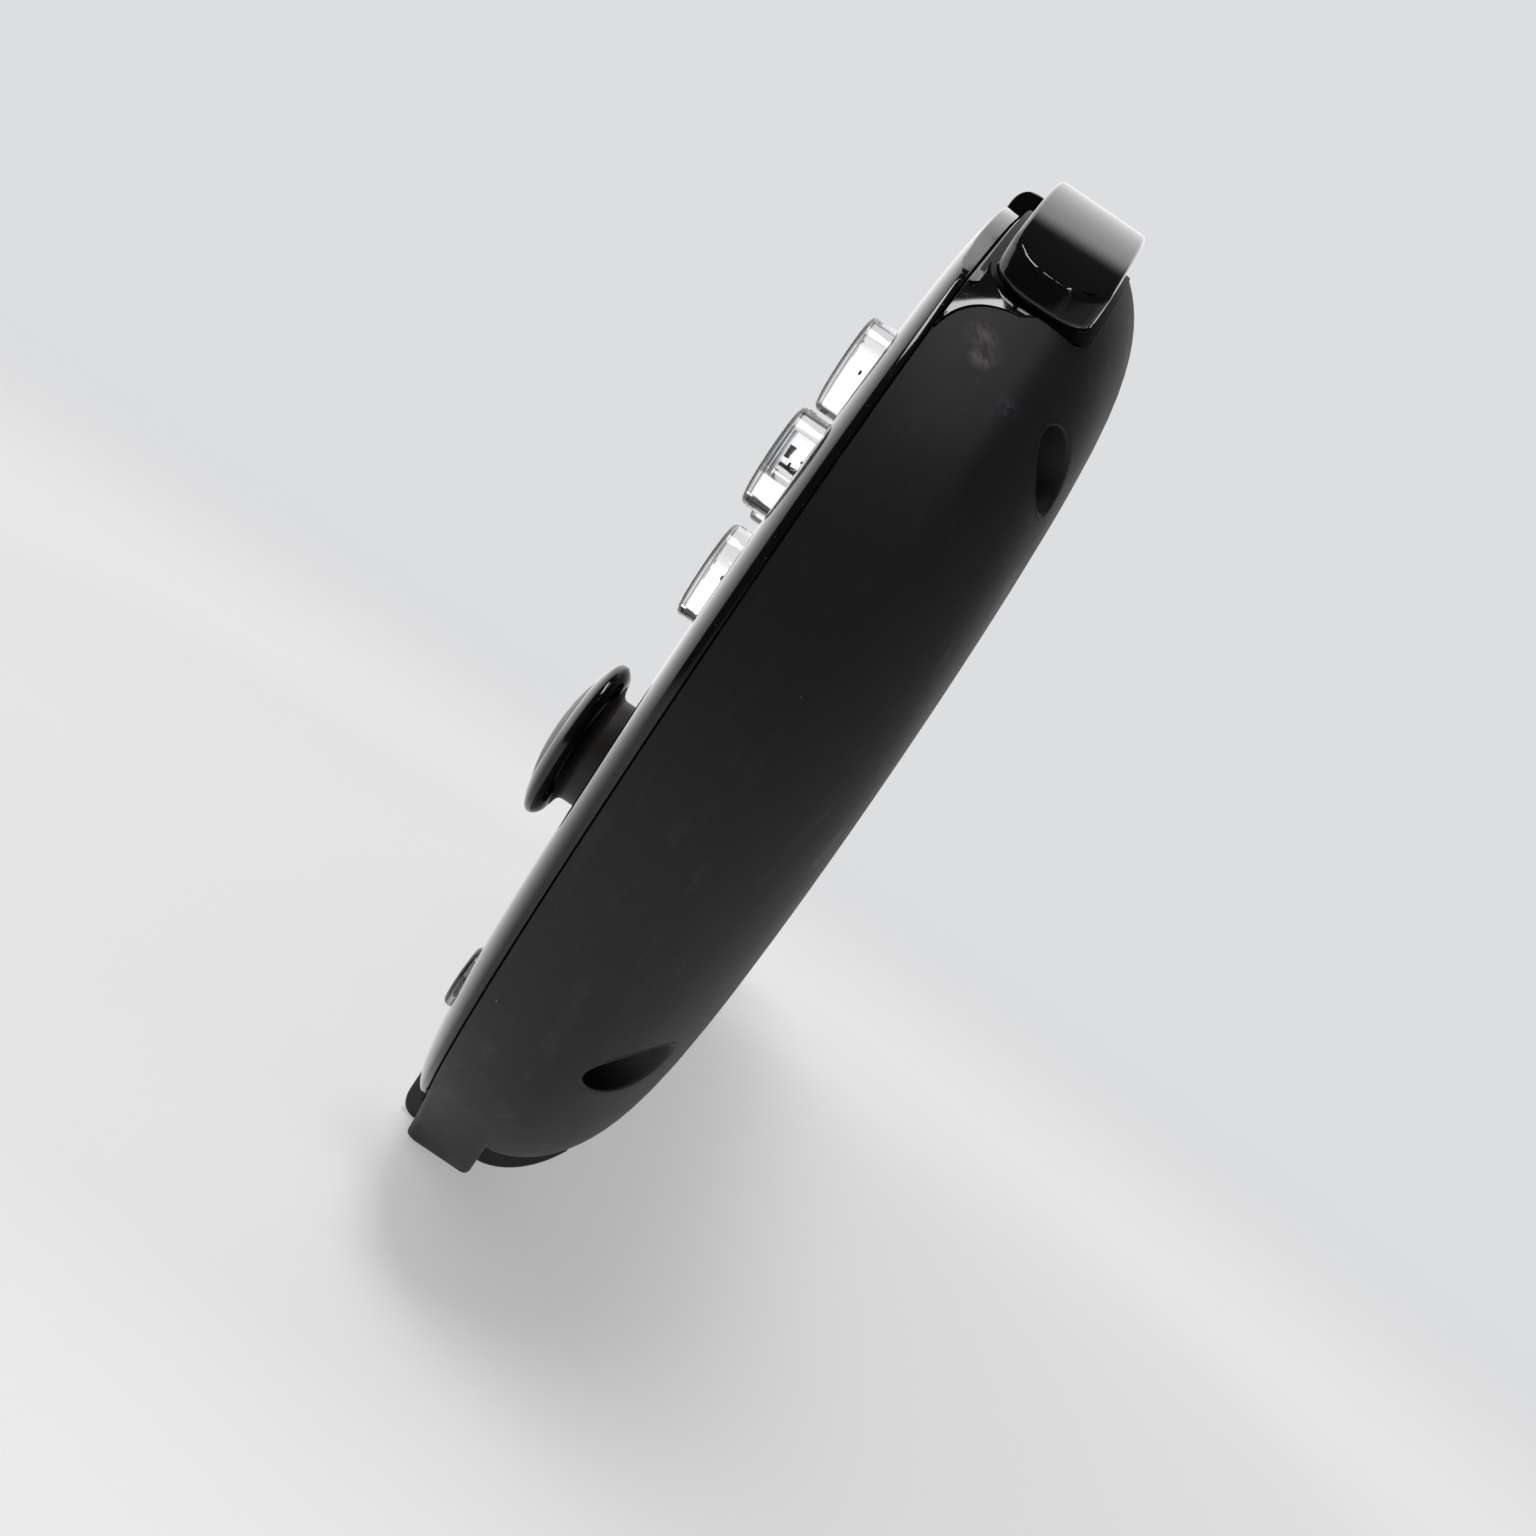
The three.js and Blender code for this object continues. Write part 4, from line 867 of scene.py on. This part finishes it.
# ---- Materials ----------------------------------------------------------------------------------------
class Finish:
    """A material whose nodes are written in a few short calls."""

    def __init__(self, name, color, roughness, **inputs):
        self.material = bpy.data.materials.new(name)
        self.material.use_nodes = True
        self.material.diffuse_color = (*color, 1)
        self.tree = self.material.node_tree
        self.shader = next(n for n in self.tree.nodes if n.type == "BSDF_PRINCIPLED")
        self.place = self.add("ShaderNodeTexCoord").outputs["Object"]
        self.put("Base Color", (*color, 1))
        self.put("Roughness", roughness)
        for key, value in inputs.items():
            self.put(key.replace("_", " "), value)

    def add(self, kind, **values):
        node = self.tree.nodes.new(kind)
        for key, value in values.items():
            setattr(node, key, value)
        return node

    def link(self, source, target):
        self.tree.links.new(source, target)

    def put(self, key, value):
        if isinstance(value, bpy.types.NodeSocket):
            self.link(value, self.shader.inputs[key])
        else:
            self.shader.inputs[key].default_value = value

    def fill(self, socket, value):
        if isinstance(value, bpy.types.NodeSocket):
            self.link(value, socket)
        else:
            socket.default_value = value

    def mapped(self, scale=(1, 1, 1), turn=(0, 0, 0), shift=(0, 0, 0), where=None):
        node = self.add("ShaderNodeMapping")
        node.inputs["Scale"].default_value = scale
        node.inputs["Rotation"].default_value = [math.radians(a) for a in turn]
        node.inputs["Location"].default_value = shift
        self.link(where or self.place, node.inputs["Vector"])
        return node.outputs["Vector"]

    def noise(self, size, detail=4.0, rough=0.55, where=None):
        """Noise whose features are about size millimetres across, from 0 to 1."""
        node = self.add("ShaderNodeTexNoise")
        node.inputs["Scale"].default_value = 1 / (size * MM)
        node.inputs["Detail"].default_value = detail
        node.inputs["Roughness"].default_value = rough
        self.link(where or self.place, node.inputs["Vector"])
        return node.outputs["Fac"]

    def specks(self, size, share, where=None, width=0.035):
        """Small round specks: 1 inside them, 0 elsewhere; width is their radius as a part of size."""
        node = self.add("ShaderNodeTexVoronoi")
        node.inputs["Scale"].default_value = 1 / (size * MM)
        self.link(where or self.place, node.inputs["Vector"])
        near = self.span(node.outputs["Distance"], width * 0.4, width, 1, 0)
        pick = self.add("ShaderNodeSeparateColor")
        self.link(node.outputs["Color"], pick.inputs["Color"])
        chosen = self.math("LESS_THAN", pick.outputs["Red"], share)
        return self.math("MULTIPLY", near, chosen)

    def math(self, kind, a, b=0.0):
        node = self.add("ShaderNodeMath", operation=kind)
        self.fill(node.inputs[0], a)
        self.fill(node.inputs[1], b)
        return node.outputs[0]

    def span(self, source, low, high, to_low=0.0, to_high=1.0):
        node = self.add("ShaderNodeMapRange")
        for key, value in zip(("Value", "From Min", "From Max", "To Min", "To Max"),
                              (source, low, high, to_low, to_high)):
            self.fill(node.inputs[key], value)
        return node.outputs["Result"]

    def mix(self, share, a, b):
        node = self.add("ShaderNodeMix", data_type="RGBA")
        self.fill(node.inputs["Factor"], share)
        self.fill(node.inputs["A"], a if isinstance(a, bpy.types.NodeSocket) else (*a, 1))
        self.fill(node.inputs["B"], b if isinstance(b, bpy.types.NodeSocket) else (*b, 1))
        return node.outputs["Result"]

    def bump(self, height, depth, strength=1.0):
        """Relief of depth millimetres."""
        node = self.add("ShaderNodeBump")
        node.inputs["Strength"].default_value = strength
        node.inputs["Distance"].default_value = depth * MM
        self.link(height, node.inputs["Height"])
        self.link(node.outputs["Normal"], self.shader.inputs["Normal"])

    def blob(self, centre, size):
        """1 at a place on the piece, falling to 0 at size millimetres from it."""
        node = self.add("ShaderNodeVectorMath", operation="SUBTRACT")
        self.link(self.place, node.inputs[0])
        node.inputs[1].default_value = [c * MM for c in centre]
        scaled = self.add("ShaderNodeVectorMath", operation="DIVIDE")
        self.link(node.outputs[0], scaled.inputs[0])
        scaled.inputs[1].default_value = [s * MM for s in size]
        length = self.add("ShaderNodeVectorMath", operation="LENGTH")
        self.link(scaled.outputs[0], length.inputs[0])
        return self.span(length.outputs["Value"], 0.0, 1.0, 1.0, 0.0)


def matte_shell():
    """Soft-touch plastic: fine grain, faint smudges, a scuff near the upper corner and light specks."""
    f = Finish("soft_touch_black", (0.03, 0.03, 0.032), 0.6, Specular_IOR_Level=0.34)
    grain = f.noise(0.16, 2.0, 0.6)
    cloud = f.noise(14.0, 4.0, 0.6)
    smear = f.noise(3.2, 5.0, 0.65, f.mapped((1, 1.6, 0.5), (25, 0, 0)))
    base = f.mix(f.span(cloud, 0.35, 0.7), (0.0115, 0.0115, 0.013), (0.016, 0.0155, 0.016))
    base = f.mix(f.math("MULTIPLY", f.span(smear, 0.56, 0.8), 0.35), base, (0.045, 0.044, 0.043))
    base = f.mix(f.math("MULTIPLY", f.span(grain, 0.35, 0.7), 0.25), base, (0.03, 0.03, 0.031))
    slanted = f.mapped(turn=(48, 0, 0))
    streak = f.noise(0.8, 3.0, 0.55, f.mapped((1, 0.25, 1.8), where=slanted))
    scuff = f.math("MULTIPLY", f.blob((82.5, -0.75, 68.0), (6, 1.3, 1.0)), f.span(streak, 0.38, 0.72))
    second = f.math("MULTIPLY", f.blob((83.4, 0.0, 66.7), (6, 1.0, 0.85)), f.span(streak, 0.36, 0.7))
    base = f.mix(f.math("MAXIMUM", scuff, second), base, (0.33, 0.29, 0.28))
    faint = f.blob((84.7, 2.9, 65.1), (6, 1.1, 0.8))
    bluish = f.math("MULTIPLY", faint, f.span(f.noise(0.35, 3.0), 0.44, 0.58))
    base = f.mix(f.math("MULTIPLY", bluish, 0.8), base, (0.05, 0.085, 0.13))
    lint = f.specks(2.6, 0.12, f.mapped((1, 1.6, 0.35), (-50, 0, 0), (0.3, 0.1, 0)), 0.03)
    dust = f.math("MAXIMUM", f.specks(2.4, 0.3), lint)
    base = f.mix(f.math("MULTIPLY", dust, 0.8), base, (0.26, 0.255, 0.25))
    f.put("Base Color", base)
    rough = f.span(cloud, 0.3, 0.75, 0.56, 0.66)
    rough = f.math("SUBTRACT", rough, f.math("MULTIPLY", f.span(smear, 0.55, 0.8), 0.1))
    f.put("Roughness", rough)
    f.bump(grain, 0.012, 0.55)
    return f.material


def gloss_black():
    """Polished black plastic with faint fingerprints and hairline scratches."""
    f = Finish("polished_black", (0.006, 0.006, 0.007), 0.06, IOR=1.5)
    prints = f.noise(6.0, 5.0, 0.62)
    hair = f.noise(1.2, 3.0, 0.6, f.mapped((9, 1, 0.6), (31, 12, 8)))
    f.put("Base Color", f.mix(f.span(prints, 0.4, 0.75), (0.005, 0.005, 0.006), (0.009, 0.009, 0.010)))
    rough = f.span(prints, 0.42, 0.78, 0.045, 0.11)
    rough = f.math("ADD", rough, f.math("MULTIPLY", f.span(hair, 0.66, 0.74), 0.05))
    f.put("Roughness", rough)
    f.bump(f.noise(2.6, 2.0, 0.5), 0.0015, 0.5)
    return f.material


def dusty_gloss():
    """The front plate: polished black, with dust caught along the seam with the housing."""
    f = Finish("polished_black_plate", (0.006, 0.006, 0.007), 0.06, IOR=1.5)
    prints = f.noise(7.0, 5.0, 0.62)
    axis = f.add("ShaderNodeSeparateXYZ")
    f.link(f.place, axis.inputs[0])
    seam = f.span(axis.outputs["Y"], (SEAM_Y - 0.6) * MM, (SEAM_Y - 0.35) * MM)
    specks = f.math("MAXIMUM", f.specks(0.5, 0.45, width=0.12), f.specks(0.9, 0.5, width=0.09))
    dust = f.math("MULTIPLY", specks, seam)
    fuzz = f.math("MULTIPLY", f.span(f.noise(0.35, 4.0, 0.7), 0.52, 0.72), seam)
    base = f.mix(f.span(prints, 0.4, 0.75), (0.005, 0.005, 0.006), (0.009, 0.009, 0.010))
    base = f.mix(f.math("MULTIPLY", dust, 0.6), base, (0.2, 0.18, 0.15))
    base = f.mix(f.math("MULTIPLY", fuzz, 0.12), base, (0.04, 0.037, 0.034))
    f.put("Base Color", base)
    rough = f.span(prints, 0.42, 0.78, 0.05, 0.12)
    f.put("Roughness", f.math("ADD", rough, f.math("MULTIPLY", dust, 0.4)))
    f.bump(f.noise(3.0, 2.0, 0.5), 0.0015, 0.5)
    return f.material


def clear_cap_finish():
    f = Finish("clear_acrylic", (0.97, 0.98, 0.985), 0.02, IOR=1.49, Transmission_Weight=1.0)
    f.put("Roughness", f.span(f.noise(1.5, 4.0), 0.4, 0.8, 0.01, 0.06))
    f.bump(f.noise(1.5, 2.0, 0.5), 0.0004, 0.3)
    return f.material


def smoke_cap_finish():
    f = Finish("smoked_acrylic", (0.42, 0.43, 0.45), 0.04, IOR=1.49, Transmission_Weight=0.85)
    lines = f.noise(0.8, 4.0, 0.6, f.mapped((0.6, 3, 0.6)))
    f.put("Base Color", f.mix(f.span(lines, 0.4, 0.7), (0.3, 0.31, 0.33), (0.55, 0.56, 0.58)))
    f.put("Roughness", f.span(lines, 0.4, 0.8, 0.03, 0.12))
    return f.material


def satin_black():
    """Fine satin plastic, as on the top of the sticks."""
    f = Finish("satin_black", (0.035, 0.036, 0.038), 0.34)
    grain = f.noise(0.22, 2.0)
    wear = f.noise(3.5, 5.0, 0.6)
    f.put("Base Color", f.mix(f.span(wear, 0.4, 0.75), (0.03, 0.031, 0.033), (0.052, 0.053, 0.055)))
    f.put("Roughness", f.span(wear, 0.35, 0.75, 0.3, 0.42))
    f.bump(grain, 0.008, 0.5)
    return f.material


def neck_satin():
    f = Finish("neck_satin", (0.05, 0.047, 0.043), 0.45)
    turned = f.noise(0.5, 3.0, 0.6, f.mapped((1, 8, 1)))
    dust = f.math("MAXIMUM", f.specks(0.8, 0.3, width=0.08), f.specks(1.3, 0.2, width=0.06))
    base = f.mix(f.span(turned, 0.35, 0.7), (0.04, 0.037, 0.034), (0.075, 0.07, 0.063))
    f.put("Base Color", f.mix(f.math("MULTIPLY", dust, 0.6), base, (0.25, 0.22, 0.17)))
    f.put("Roughness", f.span(turned, 0.3, 0.7, 0.38, 0.55))
    f.bump(turned, 0.01, 0.5)
    return f.material


def screen_glass():
    """Switched-off display behind glass: very dark, with a slight blue tint and light finger marks."""
    f = Finish("display_glass", (0.004, 0.0045, 0.006), 0.03, IOR=1.52, Coat_Weight=0.4, Coat_Roughness=0.02)
    marks = f.noise(9.0, 5.0, 0.6)
    f.put("Base Color", f.mix(f.span(marks, 0.4, 0.8), (0.0035, 0.004, 0.0055), (0.006, 0.0065, 0.008)))
    f.put("Roughness", f.span(marks, 0.45, 0.8, 0.02, 0.07))
    return f.material


def grained(name, color, roughness, noise, tones, rough, relief, stretch=None, **inputs):
    """One noise drives the colour between two tones, the roughness and the relief."""
    f = Finish(name, color, roughness, **inputs)
    grain = f.noise(*noise, where=f.mapped(stretch) if stretch else None)
    f.put("Base Color", f.mix(f.span(grain, 0.3, 0.7), *tones))
    f.put("Roughness", f.span(grain, 0.3, 0.7, *rough))
    f.bump(grain, *relief)
    return f.material


def steel():
    return grained("plated_steel", (0.5, 0.5, 0.51), 0.28, (0.25, 4.0, 0.6),
                   ((0.42, 0.42, 0.43), (0.58, 0.58, 0.59)), (0.2, 0.36), (0.004, 0.5), (1, 1, 6),
                   Metallic=1.0)


def alloy():
    return grained("cast_alloy", (0.33, 0.335, 0.34), 0.42, (0.9, 5.0, 0.65),
                   ((0.27, 0.275, 0.28), (0.4, 0.4, 0.41)), (0.35, 0.52), (0.02, 0.5), Metallic=1.0)


def circuit_board():
    f = Finish("circuit_board", (0.01, 0.06, 0.035), 0.38)
    bricks = f.add("ShaderNodeTexBrick")
    bricks.inputs["Scale"].default_value = 1 / (2.4 * MM)
    bricks.inputs["Mortar Size"].default_value = 0.08
    bricks.inputs["Color1"].default_value = (0.008, 0.05, 0.03, 1)
    bricks.inputs["Color2"].default_value = (0.012, 0.075, 0.045, 1)
    bricks.inputs["Mortar"].default_value = (0.10, 0.16, 0.07, 1)
    f.link(f.mapped((1, 1, 1), (90, 0, 0)), bricks.inputs["Vector"])
    f.put("Base Color", bricks.outputs["Color"])
    f.put("Roughness", f.span(f.noise(1.0), 0.3, 0.7, 0.3, 0.5))
    f.bump(bricks.outputs["Fac"], 0.03, 0.4)
    return f.material


def battery_wrap():
    return grained("battery_wrap", (0.045, 0.047, 0.055), 0.45, (5.0, 3.0, 0.5),
                   ((0.038, 0.04, 0.048), (0.06, 0.062, 0.07)), (0.36, 0.55), (0.15, 0.4), (1, 1, 3))


def silicone():
    return grained("dark_silicone", (0.03, 0.03, 0.031), 0.7, (0.5, 3.0),
                   ((0.022, 0.022, 0.023), (0.04, 0.04, 0.041)), (0.62, 0.8), (0.02, 0.4))


def touch_gloss():
    """The rear pad: gloss with a fine raised grid of dots."""
    f = Finish("touch_pad_gloss", (0.01, 0.01, 0.011), 0.12)
    dots = f.add("ShaderNodeTexVoronoi")
    dots.inputs["Scale"].default_value = 1 / (2.2 * MM)
    dots.inputs["Randomness"].default_value = 0.0
    f.link(f.mapped((1, 0.0001, 1)), dots.inputs["Vector"])
    dot = f.span(dots.outputs["Distance"], 0.16, 0.22, 1, 0)
    prints = f.noise(8.0, 5.0, 0.6)
    f.put("Base Color", f.mix(f.math("MULTIPLY", dot, 0.5), (0.009, 0.009, 0.01), (0.03, 0.03, 0.032)))
    f.put("Roughness", f.math("ADD", f.span(prints, 0.4, 0.78, 0.1, 0.2), f.math("MULTIPLY", dot, 0.15)))
    f.bump(dot, 0.04, 0.6)
    return f.material


def mark_ink():
    f = Finish("mark_ink", (0.02, 0.02, 0.022), 0.5)
    f.put("Roughness", f.span(f.noise(0.3), 0.3, 0.7, 0.4, 0.6))
    return f.material


MATTE = matte_shell()
GLOSS = gloss_black()
PLATE = dusty_gloss()
CLEAR = clear_cap_finish()
SMOKE = smoke_cap_finish()
SATIN = satin_black()
NECK = neck_satin()
GLASS = screen_glass()
STEEL = steel()
ALLOY = alloy()
BOARD = circuit_board()
BATTERY = battery_wrap()
RUBBER = silicone()
TOUCH = touch_gloss()
INK = mark_ink()

# ---- Pieces -------------------------------------------------------------------------------------------
RECORD = frame["record"]
BODY_OF = {node: body for body, nodes in RECORD["behaviour"]["bodies"].items() for node in nodes}


def give(mesh, materials):
    """Fills the slots of a mesh; its faces keep the numbers they point to."""
    chosen = [min(face.material_index, len(materials) - 1) for face in mesh.polygons]
    mesh.materials.clear()
    for item in materials:
        mesh.materials.append(item)
    mesh.polygons.foreach_set("material_index", chosen)


def dress(obj, slot, materials, *nodes):
    """Gives a piece its materials and lets it stand for CAD nodes, on their body."""
    give(obj.data, materials)
    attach(obj, BODY_OF[nodes[0]])
    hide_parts(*nodes)
    return obj


def add_to(obj, materials, body):
    """A detail that stands for no CAD node."""
    give(obj.data, materials)
    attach(obj, body)
    return obj


def build_housing():
    dress(rear_housing(), "matte_shell", [MATTE], "rear_shell")
    for node, x, z in well_places():
        add_to(well_rim(node.replace("screw", "well"), x, z), [MATTE], "housing")
        dress(screw(node.replace("screw", "case_screw"), node), "steel", [STEEL], node)
    shelf = bay_floor("bay_floor_right")
    add_to(mirrored(shelf, "bay_floor_left"), [MATTE], "housing")
    add_to(shelf, [MATTE], "housing")
    trim = corner_trim("corner_trim_right")
    dress(mirrored(trim, "corner_trim_left"), "gloss_black", [GLOSS], "left_corner_trim")
    dress(trim, "gloss_black", [GLOSS], "right_corner_trim")
    dress(top_strip(), "gloss_black", [GLOSS], "top_trim")
    dress(bottom_strip(), "gloss_black", [GLOSS], "bottom_trim")
    dress(plate("touch_pad", "rear_touch_pad", 6.0, 0.25), "gloss_black", [TOUCH], "rear_touch_pad")
    dress(lens("back_camera", "rear_camera", 1, 1.7), "screen_glass", [GLASS, STEEL], "rear_camera")
    dress(jack("audio_socket"), "satin_black", [SATIN, STEEL], "headphone_jack")
    dress(usb_socket("data_socket"), "steel", [STEEL], "usb_port")


def build_front():
    dress(front_plate(), "gloss_black", [PLATE], "front_cover")
    screen = moved(plate("screen", "display_glass", 1.2, 0.18), 0, PLATE_Y - FACE_Y + 0.02, 0)
    dress(screen, "screen_glass", [GLASS], "display_glass")
    dress(lens("face_camera", "front_camera", -1, 0.85), "screen_glass", [GLASS, SATIN], "front_camera")
    for side in ("north", "east", "south", "west"):
        node = f"button_{side}"
        x, _, z = middle(node)
        cap = clear_cap(f"cap_{side}", CAP_RADIUS, CAP_RISE, x, z)
        dress(cap, "clear_cap", [CLEAR], node)
        add_to(cap_mark(f"cap_{side}_mark", x, z), [INK], BODY_OF[node])
    for name, node in (("start_cap", "start_button"), ("select_cap", "select_button")):
        x, low, z = middle(node)[0], span(node)[0][1], middle(node)[2]
        cap = clear_cap(name, SMALL_RADIUS, FACE_Y - low, x, z)
        dress(cap, "smoke_cap", [SMOKE], node)
    x, low, z = middle("home_button")[0], span("home_button")[0][1], middle("home_button")[2]
    dress(solid_cap("home_cap", HOME_RADIUS, FACE_Y - low, x, z), "smoke_cap", [SATIN], "home_button")
    x, _, z = middle("dpad")
    dress(direction_pad("direction_pad", x, z), "gloss_black", [GLOSS], "dpad")
    for end in ("left", "right"):
        x, _, z = middle(f"{end}_stick_cap")
        dress(stick(f"{end}_stick", x, z), "satin_black", [SATIN, GLOSS, NECK], f"{end}_stick_cap")


def build_edges():
    right = shoulder_button("right_shoulder")
    dress(mirrored(right, "left_shoulder"), "gloss_black", [GLOSS], "left_shoulder_button")
    dress(right, "gloss_black", [GLOSS], "right_shoulder_button")
    for name, node in (("game_card_door", "game_card_cover"), ("memory_card_door", "memory_card_cover")):
        dress(card_door(name, node), "gloss_black", [GLOSS], node)
    for name, node, sign in (("power_key", "power_button", None), ("quieter_key", "volume_down", "minus"),
                             ("louder_key", "volume_up", "plus")):
        dress(edge_key(name, node, sign), "satin_black", [SATIN], node)


NODE_FINISH = {
    "display_panel": SATIN, "mid_frame": ALLOY, "main_board": BOARD, "battery": BATTERY,
    "wireless_module": ALLOY, "game_card_reader": STEEL, "memory_card_reader": STEEL,
    "left_control_board": BOARD, "right_control_board": BOARD, "left_speaker": SATIN, "right_speaker": SATIN,
    "button_membrane": RUBBER, "dpad_membrane": RUBBER, "dpad_pivot": SATIN,
    "left_stick_gimbal": SATIN, "right_stick_gimbal": SATIN,
    "left_stick_base": STEEL, "right_stick_base": STEEL,
    "left_shoulder_pin": STEEL, "right_shoulder_pin": STEEL,
    "left_shoulder_switch": STEEL, "right_shoulder_switch": STEEL,
}


def finish_inside():
    """The CAD nodes that stay as they are get their finishes."""
    for node, material in NODE_FINISH.items():
        mesh = frame["nodes"][node].data
        mesh.materials.clear()
        mesh.materials.append(material)


build_housing()
build_front()
build_edges()
finish_inside()


# ---- Floor, light and camera --------------------------------------------------------------------------
BACKDROP = (0.72, 0.73, 0.745)
CEILING = (0.045, 0.045, 0.047)  # dark room above and behind the camera
SKY = (1.2, 1.2, 1.22)  # bright wall and ceiling behind the console
TABLE = (0.3, 0.3, 0.305)  # pale light from below and from the rear
SKY_SIDE = (1.0, 0.5, 0.0)
SKY_EDGE = (-0.64, -0.52)  # the sky ends between these, along SKY_SIDE
TABLE_EDGE = (-0.3, 0.05)
FLOOR_GLOW = 0.38
ROOM_UP = (0.0, -0.558, 0.83)
SENSOR = 36.0
LENS = 50.8359375
CAMERA_PLACE = (216.0, WIDEST_Y - 0.13, up(3.87))
CAMERA_FORWARD = (-1, 0.0113, -0.0569)
CAMERA_ROLL = 34.15  # degrees


def floor_finish():
    """Pale board that fades out before its edge."""
    f = Finish("pale_floor", (0.80, 0.805, 0.81), 0.9, Specular_IOR_Level=0.0)
    length = f.add("ShaderNodeVectorMath", operation="LENGTH")
    f.link(f.place, length.inputs[0])
    fade = f.span(length.outputs["Value"], 0.10, 0.55, 1.0, 0.0)
    soft = f.noise(60.0, 3.0, 0.5)
    f.put("Base Color", f.mix(f.span(soft, 0.3, 0.7), (0.80, 0.805, 0.81), (0.815, 0.815, 0.815)))
    f.put("Alpha", f.math("MULTIPLY", fade, fade))
    f.shader.inputs["Emission Color"].default_value = (1.0, 1.0, 1.0, 1.0)
    f.shader.inputs["Emission Strength"].default_value = FLOOR_GLOW
    f.bump(f.noise(0.8, 3.0), 0.01, 0.2)
    return f.material


def make_stage():
    floor = rod("floor", "z", 900.0, -6.0, 0.0, (0, 0), 96)
    floor.data.materials.append(floor_finish())


def make_world():
    """A room that is dark above the camera, bright behind the console and pale below it."""
    world = bpy.data.worlds.new("studio")
    scene.world = world
    world.use_nodes = True
    tree = world.node_tree
    tree.nodes.clear()
    add, link = tree.nodes.new, tree.links.new

    def mixed(share, a, b):
        node = add("ShaderNodeMix")
        node.data_type = "RGBA"
        link(share, node.inputs["Factor"])
        for socket, value in (("A", a), ("B", b)):
            if isinstance(value, bpy.types.NodeSocket):
                link(value, node.inputs[socket])
            else:
                node.inputs[socket].default_value = (*value, 1)
        return node.outputs["Result"]

    def edge(source, low, high):
        node = add("ShaderNodeMapRange")
        node.interpolation_type = "SMOOTHSTEP"
        link(source, node.inputs["Value"])
        for key, value in (("From Min", low), ("From Max", high), ("To Min", 1.0), ("To Max", 0.0)):
            node.inputs[key].default_value = value
        return node.outputs["Result"]

    place = add("ShaderNodeTexCoord")

    def along(direction):
        node = add("ShaderNodeVectorMath")
        node.operation = "DOT_PRODUCT"
        link(place.outputs["Generated"], node.inputs[0])
        node.inputs[1].default_value = direction
        return node.outputs["Value"]

    colour = mixed(edge(along(ROOM_UP), *TABLE_EDGE), CEILING, TABLE)
    colour = mixed(edge(along(SKY_SIDE), *SKY_EDGE), colour, SKY)
    seen = add("ShaderNodeBackground")
    seen.inputs["Color"].default_value = (*BACKDROP, 1)
    light = add("ShaderNodeBackground")
    link(colour, light.inputs["Color"])
    path = add("ShaderNodeLightPath")
    both = add("ShaderNodeMixShader")
    link(path.outputs["Is Camera Ray"], both.inputs[0])
    link(light.outputs[0], both.inputs[1])
    link(seen.outputs[0], both.inputs[2])
    link(both.outputs[0], add("ShaderNodeOutputWorld").inputs["Surface"])


def area_light(name, place, target, size, radiance, color=(1, 1, 1)):
    lamp = bpy.data.lights.new(name, "AREA")
    lamp.shape = "RECTANGLE"
    lamp.size, lamp.size_y = (s * MM for s in size)
    lamp.energy = radiance * math.pi * lamp.size * lamp.size_y
    lamp.color = color
    obj = bpy.data.objects.new(name, lamp)
    obj.location = Vector(place) * MM
    obj.rotation_mode = "QUATERNION"
    obj.rotation_quaternion = ((Vector(target) - Vector(place)) * MM).to_track_quat("-Z", "Y")
    scene.collection.objects.link(obj)


def make_lights():
    middle_point = (60, WIDEST_Y, CENTRE_Z)
    area_light("overhead", (120, -120, 700), middle_point, (300, 160), 9.0, (1.0, 0.95, 0.96))


def make_camera():
    camera = bpy.data.cameras.new("camera")
    camera.sensor_width = SENSOR
    camera.lens = LENS
    obj = bpy.data.objects.new("camera", camera)
    scene.collection.objects.link(obj)
    forward = Vector(CAMERA_FORWARD).normalized()
    right = forward.cross(Vector((0, 0, 1))).normalized()
    above = right.cross(forward)
    lean = math.radians(CAMERA_ROLL)
    across = right * math.cos(lean) + above * math.sin(lean)
    rise = above * math.cos(lean) - right * math.sin(lean)
    place = Vector(CAMERA_PLACE) * MM
    matrix = Matrix((across, rise, -forward)).transposed().to_4x4()
    matrix.translation = place
    obj.matrix_world = matrix
    camera.clip_start, camera.clip_end = 0.005, 20
    scene.camera = obj


make_stage()
make_world()
make_lights()
make_camera()
scene.view_settings.view_transform = "Standard"
